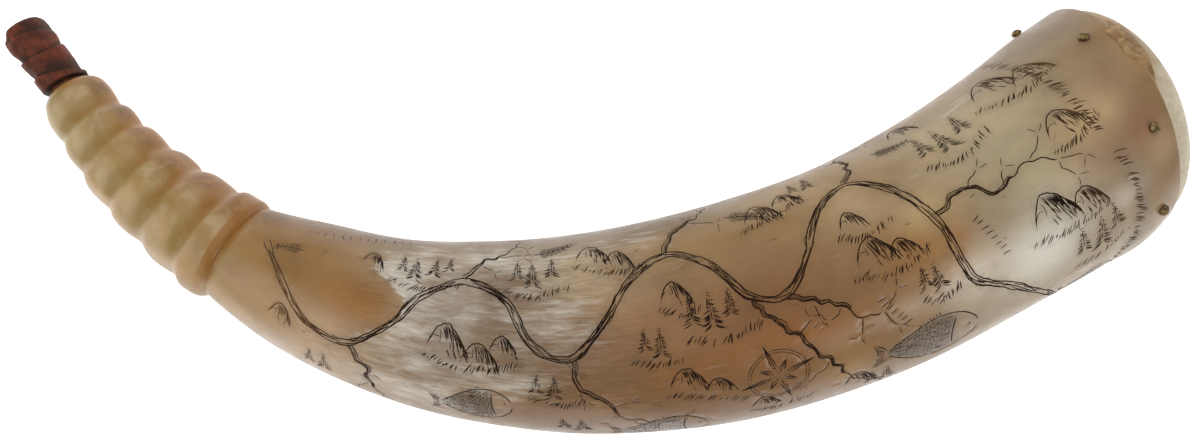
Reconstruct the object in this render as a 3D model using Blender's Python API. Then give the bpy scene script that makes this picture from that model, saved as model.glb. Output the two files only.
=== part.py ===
"""Scrimshaw powder horn lying on its side.

A cow horn is scraped thin and left hollow. Its solid tip is carved into a neck of five beads and a
collar, and drilled for pouring. A domed plug closes the wide end, held by seven brass pins through
the wall, and a whittled wooden stopper closes the spout. Units are metres, +Z is up.
"""
import math

import bmesh
import bpy
from mathutils import Matrix, Vector

MM = 0.001

# Driving sizes
HORN_LENGTH = 361 * MM          # along the middle line, from the base rim to the spout mouth
BASE_DIAMETER = 70 * MM         # across the rim at the wide end
RIM_WALL = 3.0 * MM             # horn left at the rim, where the inside was scraped
RIM_ROUND = 0.75 * MM           # worn off the rim's outer edge
TIP_WALL = 13.5 * MM            # what the wall has gained where the hollow meets the bore
BORE_DIAMETER = 7 * MM          # the pouring hole through the solid tip
MOUTH_DIAMETER = 12.6 * MM      # the bore opened out at the spout for the stopper
MOUTH_DEPTH = 19 * MM           # how far that straight taper runs into the neck
REST_DEPTH = 0.2 * MM           # worn off the underside, the flat strip it lies on
FIT_GAP = 0.3 * MM              # clearance between neighbouring pieces

PLUG_DEPTH = 14 * MM            # the plug's spigot inside the rim
PLUG_DOME = 14 * MM             # how far the plug bulges out of the rim
PLUG_SETBACK = 1.5 * MM         # the dome's edge, in from the outside of the rim
PLUG_CROWN = 4 * MM             # across the flat crown in the middle of the dome

PIN_INSET = 7.4 * MM            # the ring of pins, in from the rim
PIN_HEAD_DIAMETER = 2.9 * MM
PIN_HEAD_HEIGHT = 1.6 * MM
PIN_SHANK_DIAMETER = 1.8 * MM
PIN_POINT_DIAMETER = 0.6 * MM
PIN_LENGTH = 9 * MM             # under the head

STOPPER_LENGTH = 25.2 * MM      # outside the mouth
STOPPER_DIAMETER = 15.2 * MM    # its widest carved ring
PEG_LENGTH = 17 * MM            # inside the mouth
PEG_BEVEL = 1.4 * MM            # at the peg's end

# Pose of the horn in plan: the middle line leaves the rim on one heading and curls towards the tip
BASE_HEADING = math.radians(39.6)
TURN_EVEN = math.radians(61)    # turn spread evenly along the length
TURN_TIGHTER = math.radians(34.3)  # further turn that gathers towards the tip

# How far each cross-section is turned from square to the middle line, as (share of length, degrees):
# the rim was sawn off askew, and the neck's rings were filed a little askew
SECTION_SKEW = ((0, -17.2), (0.045, -9.7), (0.09, -4.3), (0.135, -1.1), (0.18, 0), (0.69, 0),
                (0.785, -2.8), (0.89, 0.8), (0.963, 3.2), (1, 4.6))

# Outside of the smooth horn, as (share of length, share of base radius)
BODY_PROFILE = ((0, 1.0), (0.028, 1.01), (0.069, 0.975), (0.139, 0.952), (0.249, 0.939),
                (0.36, 0.923), (0.457, 0.870), (0.554, 0.785), (0.637, 0.693), (0.706, 0.609),
                (0.762, 0.503), (0.785, 0.457))

# The carved neck from the collar to the spout, as (share of length where the ring ends,
# crest and end-groove shares of base radius, power of the ring's round: high is square-shouldered)
NECK_START = BODY_PROFILE[-1][0]
NECK_RINGS = ((0.8163, 0.503, 0.450, 5.0), (0.8582, 0.470, 0.404, 2.4), (0.8934, 0.427, 0.373, 2.4),
              (0.9313, 0.388, 0.328, 2.4), (0.9634, 0.345, 0.296, 2.4), (1.0, 0.312, 0.222, 2.8))
REST_END = 0.71                 # where the smooth body leaves the ground and the rings take over

# Hand-set places of the pins round the rim, as (degrees from the inside of the horn's curve,
# share of the pins' inset)
PIN_PLACES = ((-6, 1.35), (42, 0.95), (94, 0.85), (134, 1.1), (188, 1.2), (240, 1.0), (300, 1.0))

# Half of a pin's head as (share of its height, share of its radius)
PIN_HEAD_PROFILE = ((0, 1), (0.45, 1), (0.85, 0.7), (1, 0.25))

# The stopper's carving as (share of length from the mouth, share of radius, slant in degrees)
STOPPER_PROFILE = ((0.08, 0.80, 2), (0.10, 0.93, 5), (0.15, 1.0, 7), (0.22, 0.985, 13),
                   (0.245, 0.90, 16), (0.27, 0.95, 16), (0.36, 1.0, 13), (0.53, 0.985, 11),
                   (0.565, 0.90, 11), (0.60, 0.93, 12), (0.68, 0.975, 16), (0.75, 0.955, 22),
                   (0.785, 0.87, 26), (0.83, 0.90, 22), (0.90, 0.90, 10), (0.96, 0.82, -2),
                   (1.0, 0.66, -8))

# Fineness of the solids
HORN_SIDES = 32
STOPPER_SIDES = 20
PIN_SIDES = 10
DOME_RINGS = 9
SHARES_BODY = (0.006, 0.02, 0.045, 0.07, 0.1, 0.135, 0.17, 0.21, 0.25, 0.29, 0.33, 0.37, 0.41, 0.45,
               0.49, 0.53, 0.57, 0.605, 0.64, 0.67, 0.7, 0.725, 0.75, 0.77)
RING_STEPS = (-1.0, -0.86, -0.55, -0.2, 0.2, 0.55, 0.86)
SHARES_INSIDE = (0.9, 0.85, 0.8, 0.765, 0.74, 0.72, 0.7, 0.67, 0.64, 0.6, 0.55, 0.5, 0.44, 0.38,
                 0.32, 0.26, 0.2, 0.15, 0.11, 0.075)
SPIGOT_STEPS = (1, 0.7, 0.35, 0)  # rings along the plug's spigot, which the hollow shares
CAVITY_SHARE = 0.72             # where the hollow has narrowed to the bore
AXIS_STEPS = 400
SMALL_STEP = 0.002              # for measuring a slope, in radians or shares of length
SHARP_ANGLE = math.radians(50)

BASE_RADIUS = BASE_DIAMETER / 2
BORE_RADIUS = BORE_DIAMETER / 2
MOUTH_RADIUS = MOUTH_DIAMETER / 2
UP = Vector((0, 0, 1))


def smooth_through(stations, x):
    """Value at x of a smooth curve through (place, value) stations that never overshoots them."""
    places = [station[0] for station in stations]
    values = [station[1] for station in stations]
    x = min(max(x, places[0]), places[-1])
    gaps = [b - a for a, b in zip(places, places[1:])]
    slopes = [(b - a) / gap for a, b, gap in zip(values, values[1:], gaps)]

    def tangent(i):
        if i == 0 or i == len(slopes):
            return slopes[min(i, len(slopes) - 1)]
        before, after = slopes[i - 1], slopes[i]
        return 2 * before * after / (before + after) if before * after > 0 else 0.0

    i = max(k for k in range(len(gaps)) if places[k] <= x)
    u = (x - places[i]) / gaps[i]
    start, end = tangent(i) * gaps[i], tangent(i + 1) * gaps[i]
    return (values[i] * (1 + 2 * u) * (1 - u) ** 2 + start * u * (1 - u) ** 2
            + values[i + 1] * u * u * (3 - 2 * u) - end * u * u * (1 - u))


def heading(share):
    """Direction in plan towards the base, at a share of the length from the rim."""
    return BASE_HEADING - TURN_EVEN * share - TURN_TIGHTER * share ** 2


def trace_middle_line():
    """Points of the middle line in plan, from the rim at the origin to the mouth."""
    points = [Vector((0, 0, 0))]
    step = HORN_LENGTH / AXIS_STEPS
    for k in range(AXIS_STEPS):
        angle = heading((k + 0.5) / AXIS_STEPS)
        points.append(points[-1] - step * Vector((math.cos(angle), math.sin(angle), 0)))
    return points


MIDDLE_LINE = trace_middle_line()


def middle_point(share):
    """Point of the middle line in plan at a share of the length."""
    place = min(max(share, 0), 1) * AXIS_STEPS
    k = min(int(place), AXIS_STEPS - 1)
    return MIDDLE_LINE[k].lerp(MIDDLE_LINE[k + 1], place - k)


def outer_radius(share):
    """Outside radius of the horn: the smooth body, then the rings of the neck."""
    if share <= NECK_START:
        return BASE_RADIUS * smooth_through(BODY_PROFILE, share)
    start, groove = NECK_START, BODY_PROFILE[-1][1]
    for end, crest, end_groove, power in NECK_RINGS:
        if share <= end or end == NECK_RINGS[-1][0]:
            across = 2 * (share - start) / (end - start) - 1
            low = groove + (end_groove - groove) * (across + 1) / 2
            return BASE_RADIUS * (low + (crest - low) * (1 - abs(across) ** power))
        start, groove = end, end_groove


def rest_stations():
    """Stations of the line over which the horn lies: the body and the crests of the neck's rings."""
    stations = [station for station in BODY_PROFILE if station[0] <= REST_END]
    start = NECK_START
    for end, crest, _, _ in NECK_RINGS:
        stations.append(((start + end) / 2, crest))
        start = end
    return stations


REST_STATIONS = rest_stations()


def middle_height(share):
    """Height of the middle line, which keeps the underside on the ground."""
    return BASE_RADIUS * smooth_through(REST_STATIONS, share) - REST_DEPTH


def section(share):
    """Centre of a cross-section, its sideways direction and its outward direction to the base."""
    turn = heading(share) + math.radians(smooth_through(SECTION_SKEW, share))
    centre = middle_point(share) + UP * middle_height(share)
    side = Vector((-math.sin(turn), math.cos(turn), 0))
    outward = Vector((math.cos(turn), math.sin(turn), 0))
    return centre, side, outward


def inner_radius(share):
    """Inside radius of the scraped hollow, which narrows to the bore."""
    wall = RIM_WALL + TIP_WALL * (share / CAVITY_SHARE) ** 3
    return max(BASE_RADIUS * smooth_through(BODY_PROFILE, share) - wall, BORE_RADIUS)


def mouth_radius(depth):
    """Radius of the straight taper that is reamed into the spout, at a depth from the mouth."""
    return MOUTH_RADIUS - (MOUTH_RADIUS - BORE_RADIUS) * depth / MOUTH_DEPTH


def ring(share, radius, sides=HORN_SIDES):
    """Points of one cross-section, with nothing below the ground."""
    centre, side, _ = section(share)
    points = []
    for k in range(sides):
        angle = 2 * math.pi * (k + 0.5) / sides
        point = centre + radius * (math.cos(angle) * side + math.sin(angle) * UP)
        point.z = max(point.z, 0)
        points.append(point)
    return points


def flat_ring(centre, side, radius, sides=HORN_SIDES):
    """Points of a circle in an upright plane through a centre."""
    angles = [2 * math.pi * (k + 0.5) / sides for k in range(sides)]
    return [centre + radius * (math.cos(a) * side + math.sin(a) * UP) for a in angles]


def material(name, colour, roughness, metallic=0.0):
    """A plain finish."""
    finish = bpy.data.materials.new(name)
    finish.use_nodes = True
    shader = finish.node_tree.nodes["Principled BSDF"]
    shader.inputs["Base Color"].default_value = (*colour, 1)
    shader.inputs["Roughness"].default_value = roughness
    shader.inputs["Metallic"].default_value = metallic
    return finish


def skin(name, rings, finish, closed=False):
    """An object whose faces join rings of points, capped at both ends or closed on itself."""
    shape = bmesh.new()
    loops = [[shape.verts.new(point) for point in points] for points in rings]
    pairs = list(zip(loops, loops[1:]))
    if closed:
        pairs.append((loops[-1], loops[0]))
    for first, second in pairs:
        for k in range(len(first)):
            after = (k + 1) % len(first)
            shape.faces.new((first[k], first[after], second[after], second[k]))
    if not closed:
        shape.faces.new(reversed(loops[0]))
        shape.faces.new(loops[-1])
    bmesh.ops.recalc_face_normals(shape, faces=shape.faces)
    mesh = bpy.data.meshes.new(name)
    shape.to_mesh(mesh)
    shape.free()
    mesh.shade_smooth()
    mesh.set_sharp_from_angle(angle=SHARP_ANGLE)
    mesh.materials.append(finish)
    piece = bpy.data.objects.new(name, mesh)
    bpy.context.scene.collection.objects.link(piece)
    return piece


def make_horn_body(finish):
    """The horn: outside from rim to mouth, then the bore and the hollow back to the rim."""
    outside = [ring(0, outer_radius(0) - RIM_ROUND)]
    outside += [ring(share, outer_radius(share)) for share in SHARES_BODY]
    start = NECK_START
    for end, _, _, _ in NECK_RINGS:
        middle, half = (start + end) / 2, (end - start) / 2
        shares = [middle + half * step for step in RING_STEPS]
        outside += [ring(share, outer_radius(share)) for share in shares]
        start = end
    outside.append(ring(1, outer_radius(1)))
    mouth, side, inward = section(1)
    inside = [flat_ring(mouth + depth * inward, side, mouth_radius(depth))
              for depth in (0, 0.5 * MOUTH_DEPTH, MOUTH_DEPTH)]
    spigot = [PLUG_DEPTH / HORN_LENGTH * step for step in SPIGOT_STEPS]
    shares = sorted([*SHARES_INSIDE, *spigot], reverse=True)
    inside += [ring(share, inner_radius(share)) for share in shares]
    return skin("horn_body", outside + inside, finish, closed=True)


def make_base_plug(finish):
    """The plug: a spigot that follows the hollow, and a dome that stands out of the rim."""
    deep = PLUG_DEPTH / HORN_LENGTH
    spigot = [ring(deep * step, inner_radius(deep * step) - FIT_GAP) for step in SPIGOT_STEPS]
    centre, side, outward = section(0)
    edge = BASE_RADIUS - PLUG_SETBACK
    dome = [flat_ring(centre + FIT_GAP * outward, side, inner_radius(0) - FIT_GAP)]
    for k in range(DOME_RINGS):
        angle = math.pi / 2 * k / DOME_RINGS
        out = centre + (FIT_GAP + PLUG_DOME * math.sin(angle)) * outward
        dome.append(flat_ring(out, side, edge * math.cos(angle)))
    tip = flat_ring(centre + (FIT_GAP + PLUG_DOME) * outward, side, PLUG_CROWN / 2)
    return skin("base_plug", spigot + dome + [tip], finish)


def turned(name, profile, sides, finish):
    """A body of revolution about Z through (height, radius, slant) rows, the slant tipping a ring."""
    rings = []
    for height, radius, slant in profile:
        tip = math.tan(math.radians(slant))
        angles = [2 * math.pi * k / sides for k in range(sides)]
        flat = [(radius * math.cos(a), radius * math.sin(a)) for a in angles]
        rings.append([Vector((x, y, height + tip * x)) for x, y in flat])
    return skin(name, rings, finish)


def pin_matrix(degrees, inset):
    """Where a pin goes through the horn, with +Z straight out of the surface."""
    share = inset * PIN_INSET / HORN_LENGTH

    def surface(place, angle):
        centre, side, _ = section(place)
        return centre + outer_radius(place) * (math.cos(angle) * side + math.sin(angle) * UP)

    angle = math.radians(degrees)
    point = surface(share, angle)
    round_it = surface(share, angle + SMALL_STEP) - point
    along_it = surface(share + SMALL_STEP, angle) - point
    normal = along_it.cross(round_it).normalized()
    if normal.dot(point - section(share)[0]) < 0:
        normal.negate()
    return Matrix.Translation(point) @ normal.to_track_quat("Z", "Y").to_matrix().to_4x4()


def make_pins(finish):
    """Seven brass pins that share one mesh, and the cutter for their holes."""
    head, shank = PIN_HEAD_DIAMETER / 2, PIN_SHANK_DIAMETER / 2
    point = FIT_GAP - PIN_LENGTH
    profile = [(point, PIN_POINT_DIAMETER / 2, 0), (point + PIN_SHANK_DIAMETER, shank, 0),
               (FIT_GAP, shank, 0)]
    profile += [(FIT_GAP + up * PIN_HEAD_HEIGHT, out * head, 0) for up, out in PIN_HEAD_PROFILE]
    first = turned("pin_1", profile, PIN_SIDES, finish)
    pins = [first]
    for number in range(2, len(PIN_PLACES) + 1):
        copy = bpy.data.objects.new(f"pin_{number}", first.data)
        bpy.context.scene.collection.objects.link(copy)
        pins.append(copy)
    for pin, place in zip(pins, PIN_PLACES):
        pin.matrix_world = pin_matrix(*place)
    return pins


def make_pin_holes(finish):
    """One cutter of as many rods as there are pins, wider and deeper than the shanks by the gap."""
    radius = PIN_SHANK_DIAMETER / 2 + FIT_GAP
    holes = bmesh.new()
    length = PIN_LENGTH + PIN_HEAD_HEIGHT
    for place in PIN_PLACES:
        middle = Matrix.Translation((0, 0, PIN_HEAD_HEIGHT - FIT_GAP - length / 2))
        bmesh.ops.create_cone(holes, cap_ends=True, segments=PIN_SIDES, radius1=radius,
                              radius2=radius, depth=length, matrix=pin_matrix(*place) @ middle)
    mesh = bpy.data.meshes.new("pin_holes")
    holes.to_mesh(mesh)
    holes.free()
    mesh.materials.append(finish)
    cutter = bpy.data.objects.new("pin_holes", mesh)
    bpy.context.scene.collection.objects.link(cutter)
    cutter.hide_render = True
    cutter.display_type = "WIRE"
    return cutter


def drill(piece, cutter):
    """Cut the pin holes into a piece."""
    cut = piece.modifiers.new("pin holes", "BOOLEAN")
    cut.operation = "DIFFERENCE"
    cut.solver = "EXACT"
    cut.object = cutter


def make_stopper(finish):
    """The stopper: a peg that fits the mouth's taper and a whittled head outside it."""
    widest = STOPPER_DIAMETER / 2
    tip = mouth_radius(PEG_LENGTH - PEG_BEVEL) - FIT_GAP
    profile = [(-PEG_LENGTH, tip - PEG_BEVEL / 2, 0), (PEG_BEVEL - PEG_LENGTH, tip, 0),
               (0, mouth_radius(0) - FIT_GAP, 0)]
    profile += [(share * STOPPER_LENGTH, widest * radius, slant)
                for share, radius, slant in STOPPER_PROFILE]
    stopper = turned("stopper", profile, STOPPER_SIDES, finish)
    centre, _, inward = section(1)
    pointing_out = (-inward).to_track_quat("Z", "Y").to_matrix().to_4x4()
    stopper.matrix_world = Matrix.Translation(centre) @ pointing_out
    return stopper


def stand_on_origin(pieces):
    """Parent the pieces to an empty that centres them in plan over the origin."""
    bpy.context.view_layer.update()
    shape = [piece.matrix_world @ vertex.co for piece in pieces for vertex in piece.data.vertices]
    low = Vector(min(point[k] for point in shape) for k in range(3))
    high = Vector(max(point[k] for point in shape) for k in range(3))
    holder = bpy.data.objects.new("powder_horn", None)
    bpy.context.scene.collection.objects.link(holder)
    holder.location = (-(low.x + high.x) / 2, -(low.y + high.y) / 2, 0)
    return holder


def main():
    """Clear the scene and build the powder horn."""
    for old in list(bpy.data.objects):
        bpy.data.objects.remove(old)
    horn = make_horn_body(material("horn", (0.62, 0.49, 0.33), 0.35))
    plug = make_base_plug(material("pale_wood", (0.72, 0.64, 0.50), 0.55))
    brass = material("brass", (0.50, 0.36, 0.16), 0.35, 1.0)
    pins = make_pins(brass)
    holes = make_pin_holes(brass)
    drill(horn, holes)
    drill(plug, holes)
    stopper = make_stopper(material("stained_wood", (0.22, 0.09, 0.05), 0.45))
    pieces = [horn, plug, *pins, stopper]
    holder = stand_on_origin(pieces)
    for piece in [*pieces, holes]:
        piece.parent = holder


main()
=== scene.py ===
# %% [markdown]
# A scrimshaw powder horn. The real one is a cow horn that was scraped thin, engraved with a graver,
# and rubbed with ink that stayed in the cuts. Its solid tip was filed into a collar and five beads.
# A domed wooden plug, sealed with wax and held by brass pins, closes the wide end, and a whittled
# stopper closes the spout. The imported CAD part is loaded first, as a frame that nothing here moves.

# %% Load the frame
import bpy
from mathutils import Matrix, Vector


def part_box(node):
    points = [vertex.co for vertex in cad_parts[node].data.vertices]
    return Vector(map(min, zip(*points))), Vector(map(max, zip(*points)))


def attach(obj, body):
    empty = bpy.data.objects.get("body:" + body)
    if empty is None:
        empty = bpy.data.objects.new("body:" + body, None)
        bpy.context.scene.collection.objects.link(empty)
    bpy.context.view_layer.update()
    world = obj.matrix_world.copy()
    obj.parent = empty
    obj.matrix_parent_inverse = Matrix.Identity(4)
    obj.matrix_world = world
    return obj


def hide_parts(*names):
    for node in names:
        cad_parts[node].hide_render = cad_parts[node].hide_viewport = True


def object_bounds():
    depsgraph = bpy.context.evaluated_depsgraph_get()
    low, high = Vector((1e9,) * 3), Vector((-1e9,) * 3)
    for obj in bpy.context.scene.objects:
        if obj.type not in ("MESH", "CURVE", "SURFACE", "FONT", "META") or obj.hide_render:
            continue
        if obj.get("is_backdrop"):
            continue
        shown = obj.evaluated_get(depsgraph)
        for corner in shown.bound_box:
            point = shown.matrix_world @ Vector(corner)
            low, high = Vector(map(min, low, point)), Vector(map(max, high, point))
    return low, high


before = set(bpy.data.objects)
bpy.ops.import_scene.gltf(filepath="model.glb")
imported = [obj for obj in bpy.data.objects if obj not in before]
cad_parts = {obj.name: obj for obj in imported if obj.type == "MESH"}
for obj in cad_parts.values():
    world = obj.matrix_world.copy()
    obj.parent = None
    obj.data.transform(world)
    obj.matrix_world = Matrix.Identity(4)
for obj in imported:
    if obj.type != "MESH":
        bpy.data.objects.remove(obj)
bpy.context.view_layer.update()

# %% Other modules and units
import math
import random

import bmesh
import bpy
import numpy as np
from mathutils import Matrix, Vector
from mathutils.geometry import delaunay_2d_cdt
from mathutils.kdtree import KDTree

MM = 0.001          # this script reckons the horn in millimetres, and Blender in metres
chance = random.Random(7)
print("Nodes in the frame:", ", ".join(sorted(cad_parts)))

# %% [markdown]
# A horn is a tube whose middle line curls and whose radius shrinks. It could be a curve with a bevel,
# but then nothing could be carved into it by place. So the same law as the CAD's is written here as
# functions of two numbers, how far along the horn and how far round it, and every surface, line of
# engraving and pin is placed by them.

# %% The law of the horn, in millimetres and shares of its length
HORN_LENGTH = 361.0
BASE_RADIUS = 35.0
RIM_WALL, TIP_WALL, CAVITY_SHARE = 3.0, 13.5, 0.72
RIM_ROUND = 0.75
BORE_RADIUS, MOUTH_RADIUS, MOUTH_DEPTH = 3.5, 6.3, 19.0
REST_DEPTH = 0.2
BASE_HEADING, TURN_EVEN, TURN_TIGHTER = (math.radians(turn) for turn in (39.6, 61, 34.3))
SECTION_SKEW = ((0, -17.2), (0.045, -9.7), (0.09, -4.3), (0.135, -1.1), (0.18, 0), (0.69, 0),
                (0.785, -2.8), (0.89, 0.8), (0.963, 3.2), (1, 4.6))
BODY_PROFILE = ((0, 1.0), (0.028, 1.01), (0.069, 0.975), (0.139, 0.952), (0.249, 0.939),
                (0.36, 0.923), (0.457, 0.870), (0.554, 0.785), (0.637, 0.693), (0.706, 0.609),
                (0.762, 0.503), (0.785, 0.457))
NECK_START = BODY_PROFILE[-1][0]
NECK_RINGS = ((0.8163, 0.503, 0.450, 5.0), (0.8582, 0.470, 0.404, 2.4), (0.8934, 0.427, 0.373, 2.4),
              (0.9313, 0.388, 0.328, 2.4), (0.9634, 0.345, 0.296, 2.4), (1.0, 0.312, 0.222, 2.8))
REST_END = 0.71
AXIS_STEPS = 400


def smooth_through(stations, x):
    """Values at x of a smooth curve through (place, value) stations that never overshoots them."""
    places, values = np.array(stations, float).T
    x = np.clip(np.asarray(x, float), places[0], places[-1])
    gaps = np.diff(places)
    slopes = np.diff(values) / gaps
    tangents = np.concatenate([slopes[:1], np.zeros(len(slopes) - 1), slopes[-1:]])
    before, after = slopes[:-1], slopes[1:]
    same = before * after > 0
    tangents[1:-1] = np.where(same, 2 * before * after / np.where(same, before + after, 1), 0)
    i = np.clip(np.searchsorted(places, x, side="right") - 1, 0, len(gaps) - 1)
    u = (x - places[i]) / gaps[i]
    return (values[i] * (1 + 2 * u) * (1 - u) ** 2 + tangents[i] * gaps[i] * u * (1 - u) ** 2
            + values[i + 1] * u * u * (3 - 2 * u) - tangents[i + 1] * gaps[i] * u * u * (1 - u))


def heading(share):
    """Direction in plan towards the base, at a share of the length from the rim."""
    return BASE_HEADING - TURN_EVEN * share - TURN_TIGHTER * share ** 2


def law_radius(share):
    """Radius of the horn as the CAD has it: the smooth body, then the rings of the neck."""
    share = np.asarray(share, float)
    radius = smooth_through(BODY_PROFILE, share)
    start, groove = NECK_START, BODY_PROFILE[-1][1]
    for end, crest, end_groove, power in NECK_RINGS:
        across = np.clip(2 * (share - start) / (end - start) - 1, -1, 1)
        low = groove + (end_groove - groove) * (across + 1) / 2
        inside = (share > start) & (share <= end)
        radius = np.where(inside, low + (crest - low) * (1 - np.abs(across) ** power), radius)
        start, groove = end, end_groove
    return BASE_RADIUS * radius


steps = heading((np.arange(AXIS_STEPS) + 0.5) / AXIS_STEPS)
plan_x = np.concatenate([[0], -np.cumsum(np.cos(steps))]) * HORN_LENGTH / AXIS_STEPS
plan_y = np.concatenate([[0], -np.cumsum(np.sin(steps))]) * HORN_LENGTH / AXIS_STEPS
ring_ends = [NECK_START] + [ring[0] for ring in NECK_RINGS]
bead_crests = [((a + b) / 2, ring[1]) for a, b, ring in zip(ring_ends, ring_ends[1:], NECK_RINGS)]
rest_line = [station for station in BODY_PROFILE if station[0] <= REST_END] + bead_crests
print("The middle line runs", round(plan_x[-1]), "by", round(plan_y[-1]), "mm")

# %% Hand work that the CAD leaves out: scraping on the body, uneven filing on the neck
NECK_SWAY = 0.0016          # how far a groove strays along the neck, as a share of the length
NECK_TILT = 0.0011          # how far the grooves run towards the base on the outside of the curve
NECK_LEAN = 0.35            # how far the beads stand out on the outside of the curve, in mm
NECK_SOFT = 0.003           # half the width over which the file has rounded the valleys
NECK_EASE, TIP_EASE = 0.012, 0.015      # the shares over which the neck's work starts and stops
VALLEY_REACH = 0.011        # how far along the horn a worn valley reaches
SCRAPES = ((0.16, 3, 19), (0.10, 5, -31), (0.08, 8, 47))        # mm, waves round the horn, twist
RIPPLE = 0.12               # ripples of the scraper across the horn, in mm
FACET, OVAL = 0.20, 0.22    # how far a bead's facets stand out, and how far it is out of round, in mm
# valleys worn shallow on the outside of the curve: share of the length, angle, reach in angle, how full
WORN_VALLEYS = ((0.8582, 1.95, 0.6, 0.3), (0.8934, 1.85, 0.6, 0.3),
                (0.9313, 1.85, 0.6, 0.4), (0.9634, 1.8, 0.6, 0.45))
BEAD_FACETS = (5, 6, 7, 6, 5, 4)
BEAD_TURNS = (0.4, 1.9, 3.1, 0.9, 2.4, 1.2)


def fade(x, start, end):
    """0 before start, 1 after end, smooth between them."""
    t = np.clip((x - start) / (end - start), 0, 1)
    return t * t * (3 - 2 * t)


def skin_radius(share, angle):
    """Radius of the worked horn at a share of its length and an angle round it."""
    on_neck = fade(share, NECK_START, NECK_START + NECK_EASE)
    sway = NECK_SWAY * (np.sin(2 * angle + 40 * share) + 0.6 * np.sin(3 * angle - 25 * share))
    sway = sway + NECK_TILT * (1 - np.cos(angle))
    ends = fade(share, 1.0, 1 - TIP_EASE)
    filed = share + sway * on_neck * ends
    soft = NECK_SOFT * fade(share, NECK_START + 0.014, NECK_START + 0.024) * ends
    radius = sum(law_radius(np.clip(filed + step * soft, 0, 1)) for step in (-1, -0.5, 0, 0.5, 1)) / 5
    crest = BASE_RADIUS * smooth_through(rest_line, share)
    for middle, turn, reach, full in WORN_VALLEYS:
        spread_here = np.exp(-((angle - turn) / reach) ** 2 - ((filed - middle) / VALLEY_REACH) ** 2)
        radius = radius + full * spread_here * np.maximum(crest - radius, 0)
    radius = radius - NECK_LEAN * np.cos(angle) * on_neck * ends
    scraped = sum(size * np.sin(waves * angle + twist * share) for size, waves, twist in SCRAPES)
    scraped = scraped + RIPPLE * np.sin(27 * share + 1.3 * np.sin(angle))
    radius = radius + scraped * (1 - on_neck) * fade(share, 0, 0.04)
    for start, end, facets, turn in zip(ring_ends, ring_ends[1:], BEAD_FACETS, BEAD_TURNS):
        on_bead = fade(share, start, start + 0.008) * fade(share, end, end - 0.008)
        filing = FACET * np.sin(facets * angle + turn) + OVAL * np.sin(2 * angle + 3 * turn)
        radius = radius + on_bead * filing
    return radius


def section(share):
    """Centre of each cross-section and the angle in plan of its outward direction to the base."""
    share = np.asarray(share, float)
    places = np.linspace(0, 1, AXIS_STEPS + 1)
    turn = heading(share) + np.radians(smooth_through(SECTION_SKEW, share))
    height = BASE_RADIUS * smooth_through(rest_line, share) - REST_DEPTH
    centre = np.stack([np.interp(share, places, plan_x), np.interp(share, places, plan_y), height], -1)
    return centre, turn


def place(share, angle, radius):
    """Points at an angle and a radius in the cross-sections, before the horn is moved to the frame."""
    centre, turn = section(share)
    out, up = radius * np.cos(angle), radius * np.sin(angle)
    return centre + np.stack([-np.sin(turn) * out, np.cos(turn) * out, up], -1)


# %% Move the law to the frame by the rim of the CAD's horn, which holds its box's high corner
CAD_SIDES = 32
cad_angles = 2 * math.pi * (np.arange(CAD_SIDES) + 0.5) / CAD_SIDES
rim = place(np.zeros(CAD_SIDES), cad_angles, BASE_RADIUS - RIM_ROUND)
shift = np.array([*(np.array(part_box("horn_body")[1]) / MM - rim.max(0))[:2], 0])
print("The rim's centre sits at", shift.round(2), "mm")


def on_horn(share, angle, depth=0.0):
    """Points of the worked surface, or below it by a depth, in the row frame and in millimetres."""
    point = place(share, angle, skin_radius(share, angle) - depth) + shift
    point[..., 2] = np.maximum(point[..., 2], 0)
    return point


# %% [markdown]
# The engraving on the real horn is its maker's own map, so this one is another drawing of the same kind
# and scale: a river with creeks, hills, pines, fish and a compass star, as on many horns. A drawn
# texture would blur in the export, so every stroke is a line of points in a flat map of the skin, in
# millimetres along the horn from the rim and round it from the top line, later cut in as a real groove.

# %% One stroke of the graver, and lines that waver as a hand does
HAIR, FINE, PLAIN, BOLD = 0.27, 0.34, 0.43, 0.55      # widths of the graver's strokes, in mm
strokes = []


def cut(points, width=PLAIN, dark=1.0):
    """Add a stroke through points of the map."""
    strokes.append((np.asarray(points, float), width, dark))


def dash(start, end, width=FINE, bow=0.0, dark=1.0):
    """A short stroke between two points, slightly bowed."""
    start, end = np.asarray(start, float), np.asarray(end, float)
    side = np.array([start[1] - end[1], end[0] - start[0]])
    t = np.linspace(0, 1, 3 if np.hypot(*side) < 2.4 else 4)[:, None]
    cut(start + (end - start) * t + side * bow * 4 * t * (1 - t), width, dark)


def run_of(points):
    """How far along a line each of its points lies."""
    return np.concatenate([[0], np.cumsum(np.hypot(*np.diff(points, axis=0).T))])


def resampled(points, step):
    """Evenly spaced points along a line, about a step apart."""
    run = run_of(points)
    places = np.linspace(0, run[-1], max(int(round(run[-1] / step)), 3) + 1)
    return np.stack([np.interp(places, run, points[:, k]) for k in (0, 1)], 1)


def flowing(course, step=0.9):
    """Evenly spaced points of a smooth curve through a few given ones."""
    p = np.asarray(course, float)
    p = np.vstack([2 * p[0] - p[1], p, 2 * p[-1] - p[-2]])
    t = np.linspace(0, 1, 24, endpoint=False)[:, None]
    curve = [0.5 * (2 * b + (c - a) * t + (2 * a - 5 * b + 4 * c - d) * t ** 2
                    + (3 * b - a - 3 * c + d) * t ** 3) for a, b, c, d in zip(p, p[1:], p[2:], p[3:])]
    return resampled(np.vstack([*curve, p[-2:-1]]), step)


def sideways(points):
    """Unit vectors to the left of a line of points."""
    along = np.gradient(points, axis=0)
    along /= np.hypot(*along.T)[:, None] + 1e-9
    return np.stack([-along[:, 1], along[:, 0]], 1)


def waver(count, size, smooth):
    """Smoothed random offsets."""
    raw = [chance.gauss(0, 1) for _ in range(count + 2 * smooth)]
    kernel = np.hanning(2 * smooth + 1)
    return size * np.convolve(raw, kernel / np.sqrt((kernel ** 2).sum()), mode="valid")[:count]


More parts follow.
